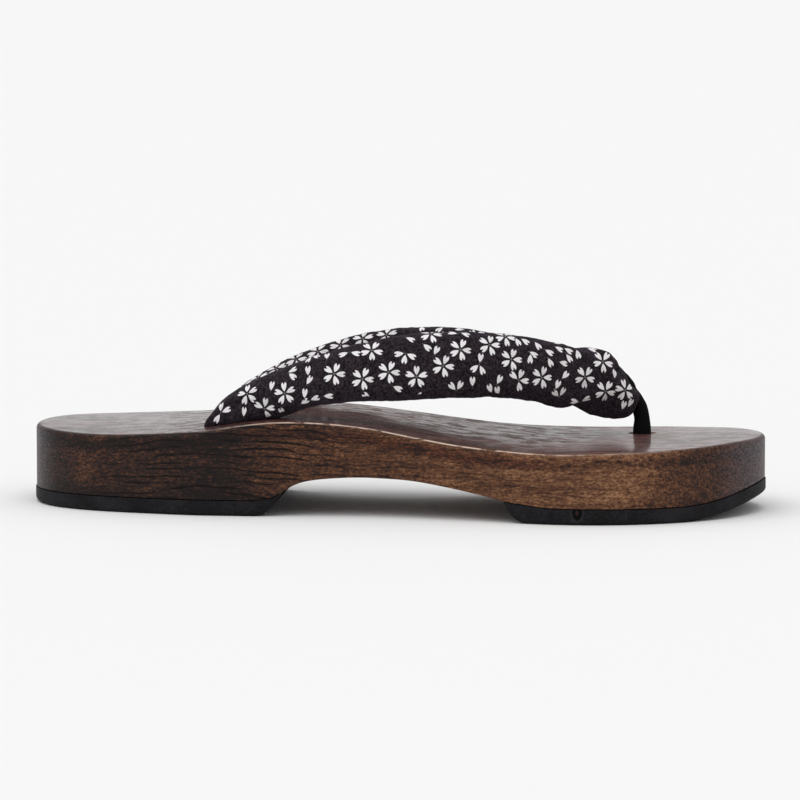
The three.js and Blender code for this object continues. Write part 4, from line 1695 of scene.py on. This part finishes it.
    def build(self) -> bpy.types.Object:
        """Makes the strap and prints its cloth.

        Returns:
            The object.
        """
        outer, inner = self.arm_rings(self.outer), self.arm_rings(self.inner)
        down = np.linspace(0, math.pi, 40)[:, None]
        around = np.linspace(0, 2 * math.pi, 72, endpoint=False)[None]
        ball = np.stack([
            self.post.loop_length / 2 * np.sin(down) * np.cos(around),
            self.core / 2 * np.cos(down) * np.ones_like(around),
            -self.post.loop_height / 2 * np.sin(down) * np.sin(around),
        ], -1) + self.post.heart
        arms = [Skin.over(rings, Seam.CAPPED) for rings, _, _ in (outer, inner)]
        strap = self.one_cloth([*arms, Skin.over(ball, Seam.OPEN)])
        points = mesh_points(strap)
        waves = [wave(points, self.ripple_wave, seed) for seed in (5, 6)]
        points[:, 1:] += self.ripple * np.column_stack(waves)
        for pull in self.pulls:
            gaps = np.linalg.norm(points - np.array(pull.place), axis=1)
            points += np.exp(-((gaps / pull.reach) ** 2))[:, None] * np.array(pull.shift)
        points = self.seat(points)
        move_points(strap, points)
        self.print_cloth(strap, points, (outer, inner))
        finish_piece(strap, self.finish, "strap")
        return strap

    def print_cloth(self, strap: bpy.types.Object, points: Array, arms: tuple) -> None:
        """Stores where each blossom lies and where the plain backing begins.

        Args:
            strap: the object.
            points: its points.
            arms: rings, turns and girths of both arms.
        """
        known = np.vstack([rings.reshape(-1, 3) for rings, _, _ in arms])
        on_outer = np.arange(len(known)) < arms[0][1].size
        turn = np.concatenate([t.ravel() for _, t, _ in arms])
        girth = np.concatenate([g.ravel() for _, _, g in arms])
        tree = KDTree(len(known))
        for i, point in enumerate(known):
            tree.insert(point, i)
        tree.balance()
        nearest = np.array([tree.find(p)[1] for p in points])
        turn, girth = turn[nearest], girth[nearest]
        outside = (self.seam_outside - turn) * girth / 360
        inside = (turn - self.seam_inside) * girth / 360
        cloth = np.minimum(outside, inside)
        carry(strap, "printed", cloth)
        low, high = self.charted_turns
        charted = on_outer[nearest] & (turn > low) & (turn < high)
        blooms = self.blooms(points, cloth, charted)
        carry(strap, "bloom", self.bloom_places(strap, points, blooms), "CORNER")
        log.info("printed %d blossoms", len(blooms))

    def blooms(self, points: Array, cloth: Array, charted: Array) -> list:
        """The charted blossoms, and seeded ones at an even spacing over the rest of the cloth.

        Args:
            points: the strap's points.
            cloth: distance of each point from the backing's seam.
            charted: whether a point lies where the chart holds.

        Returns:
            The blossoms.
        """
        made = self.chart.blooms(self.studio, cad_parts["strap"])
        taken = [bloom.heart for bloom in made]
        random = np.random.default_rng(self.seed)
        free = random.permutation(np.flatnonzero((cloth > -self.seam_reach) & ~charted))[:self.tries]
        petal = self.petal_share * self.finish.bloom_radius
        loose = self.spacing * self.loose_spacing
        for spacing, choices in ((self.spacing, self.kinds), (loose, self.loose_kinds)):
            for i in free:
                point = points[i]
                if np.linalg.norm(np.array(taken) - point, axis=1).min() <= spacing:
                    continue
                taken.append(point)
                turn = float(random.uniform(0, 360))
                heart = point if choices != self.loose_kinds else point - petal * np.array([
                    math.cos(math.radians(turn)), 0.0, math.sin(math.radians(turn)),
                ])
                made.append(Bloom(*heart, turn, int(random.choice(choices))))
        return made

    def bloom_places(self, strap: bpy.types.Object, points: Array, blooms: Sequence[Bloom]) -> Array:
        """For each face corner its place in the nearest blossom, and that blossom's petals.

        Args:
            strap: the object.
            points: its points.
            blooms: the blossoms.

        Returns:
            One vector for each corner.
        """
        mesh = strap.data
        corners = read_all(mesh.loops, "vertex_index", kind=int)
        totals = read_all(mesh.polygons, "loop_total", kind=int)
        owner = np.repeat(np.arange(len(totals)), totals)
        middle = read_all(mesh.polygons, "center", 3) / MM
        normal = read_all(mesh.polygons, "normal", 3)
        reach = self.finish.bloom_radius * self.bloom_share
        score = np.full(len(totals), np.inf)
        chosen = np.full(len(totals), -1)
        axes = []
        for i, bloom in enumerate(blooms):
            gaps = np.linalg.norm(middle - bloom.heart, axis=1)
            home = int(np.argmin(gaps))
            close = np.flatnonzero(gaps < self.plane_reach)
            up = unit(normal[close].mean(0)) if len(close) else normal[home]
            right = unit(np.array([1.0, 0, 0]) - up * up[0])
            axes.append((middle[home], right, np.cross(up, right), up))
            near = np.flatnonzero((gaps < reach * 1.2) & (normal @ up > -0.2))
            place = self.flat_place(middle[near], axes[-1], bloom.turn)
            turns = np.arctan2(place[:, 1], place[:, 0]) / (2 * math.pi) % 1.0
            petal = np.floor(turns * self.finish.petals).astype(int)
            present = (bloom.petals >> np.minimum(petal, self.finish.petals - 1)) & 1
            rank = np.hypot(place[:, 0], place[:, 1]) + np.where(present > 0, 0, self.missing_petal)
            better = rank < score[near]
            score[near[better]] = rank[better]
            chosen[near[better]] = i
        places = np.full((len(corners), 3), self.unprinted)
        corner_bloom = chosen[owner]
        for i, bloom in enumerate(blooms):
            mine = np.flatnonzero(corner_bloom == i)
            if len(mine):
                flat = self.flat_place(points[corners[mine]], axes[i], bloom.turn)
                places[mine] = np.column_stack([flat, np.full(len(mine), float(bloom.petals))])
        return places

    @staticmethod
    def flat_place(points: Array, axes: tuple, turn: float) -> Array:
        """Places on a blossom's own plane, as far from its middle as they are over the cloth.

        Args:
            points: places in the part's frame.
            axes: the blossom's middle and its three directions.
            turn: direction of its first petal in degrees.

        Returns:
            Two numbers for each point.
        """
        heart, right, up, _ = axes
        away = points - heart
        a, b = away @ right, away @ up
        flat = np.hypot(a, b)
        stretch = np.clip(np.linalg.norm(away, axis=1) / np.maximum(flat, 1e-6), 1, 1.35)
        spin = math.radians(36 - turn)
        c, s = math.cos(spin), math.sin(spin)
        return np.column_stack([(a * c - b * s) * stretch, (a * s + b * c) * stretch])


@dataclass
class Studio:
    """A pale floor, soft light and the camera at the photograph's angle."""

    camera_place: tuple = (0.314531, -1.574903, 0.192068)
    camera_aim: tuple = (0.000567, 0.002063, 0.034694)
    lens: float = 217.38
    sensor: float = 36.0
    floor_reach: float = 40.0
    floor_tone: tuple = (0.885, 0.885, 0.885)
    sky: float = 0.69
    sun: float = 1.25
    sun_spread: float = 70.0
    sun_tilt: tuple = (18.0, -8.0, 0.0)
    photo: float = 800.0
    clip: tuple = (0.05, 200.0)

    def sight(self, u: float, v: float, turn: float) -> tuple:
        """How a pixel of the photograph is seen from the camera.

        Args:
            u: the pixel's place to the right.
            v: its place down.
            turn: a direction drawn on the photograph, anticlockwise from its right, in radians.

        Returns:
            The direction of the line of sight, and the drawn direction in the part's frame.
        """
        look = unit(np.array(self.camera_aim) - np.array(self.camera_place))
        right = unit(np.cross(look, (0.0, 0.0, 1.0)))
        up = np.cross(right, look)
        pixel = self.sensor / (self.lens * self.photo)
        across, above = (u - self.photo / 2) * pixel, (self.photo / 2 - v) * pixel
        return unit(look + right * across + up * above), right * math.cos(turn) + up * math.sin(turn)

    def build(self) -> None:
        """Makes the floor, the lights and the camera."""
        self.make_floor()
        self.make_light()
        self.make_camera()

    def make_floor(self) -> None:
        """The floor under the sandal."""
        r = self.floor_reach
        corners = [(-r, -r, 0), (r, -r, 0), (r, r, 0), (-r, r, 0)]
        mesh = bpy.data.meshes.new("floor")
        mesh.from_pydata(corners, [], [(0, 1, 2, 3)])
        floor = placed("floor", mesh)
        n = Nodes("floor_paint")
        mesh.materials.append(n.surface(Base_Color=self.floor_tone, Roughness=0.9, Specular_IOR_Level=0.1))

    def make_light(self) -> None:
        """An even pale surround and one broad light from above."""
        scene = bpy.context.scene
        scene.view_settings.view_transform = "Standard"
        world = bpy.data.worlds.new("surround")
        scene.world = world
        world.use_nodes = True
        ground = world.node_tree.nodes["Background"]
        ground.inputs["Color"].default_value = (1, 1, 1, 1)
        ground.inputs["Strength"].default_value = self.sky
        lamp = bpy.data.lights.new("soft_top", "SUN")
        lamp.energy = self.sun
        lamp.angle = math.radians(self.sun_spread)
        placed("soft_top", lamp).rotation_euler = [math.radians(tilt) for tilt in self.sun_tilt]

    def make_camera(self) -> None:
        """The camera."""
        camera = bpy.data.cameras.new("camera")
        camera.lens, camera.sensor_width = self.lens, self.sensor
        camera.clip_start, camera.clip_end = self.clip
        eye = placed("camera", camera)
        eye.location = self.camera_place
        look = Vector(self.camera_aim) - Vector(self.camera_place)
        eye.rotation_euler = look.to_track_quat("-Z", "Y").to_euler()
        bpy.context.scene.camera = eye


def main() -> None:
    """Builds the sandal and its studio."""
    logging.basicConfig(level=logging.INFO, format="%(name)s: %(message)s")
    form = BoardForm()
    studio = Studio()
    studio.build()
    SoleBoard(form).build()
    RubberPads(form).build()
    post = PostCord(form)
    post.build()
    ClothStrap(form, post, studio).build()


if __name__ == "__main__":
    main()
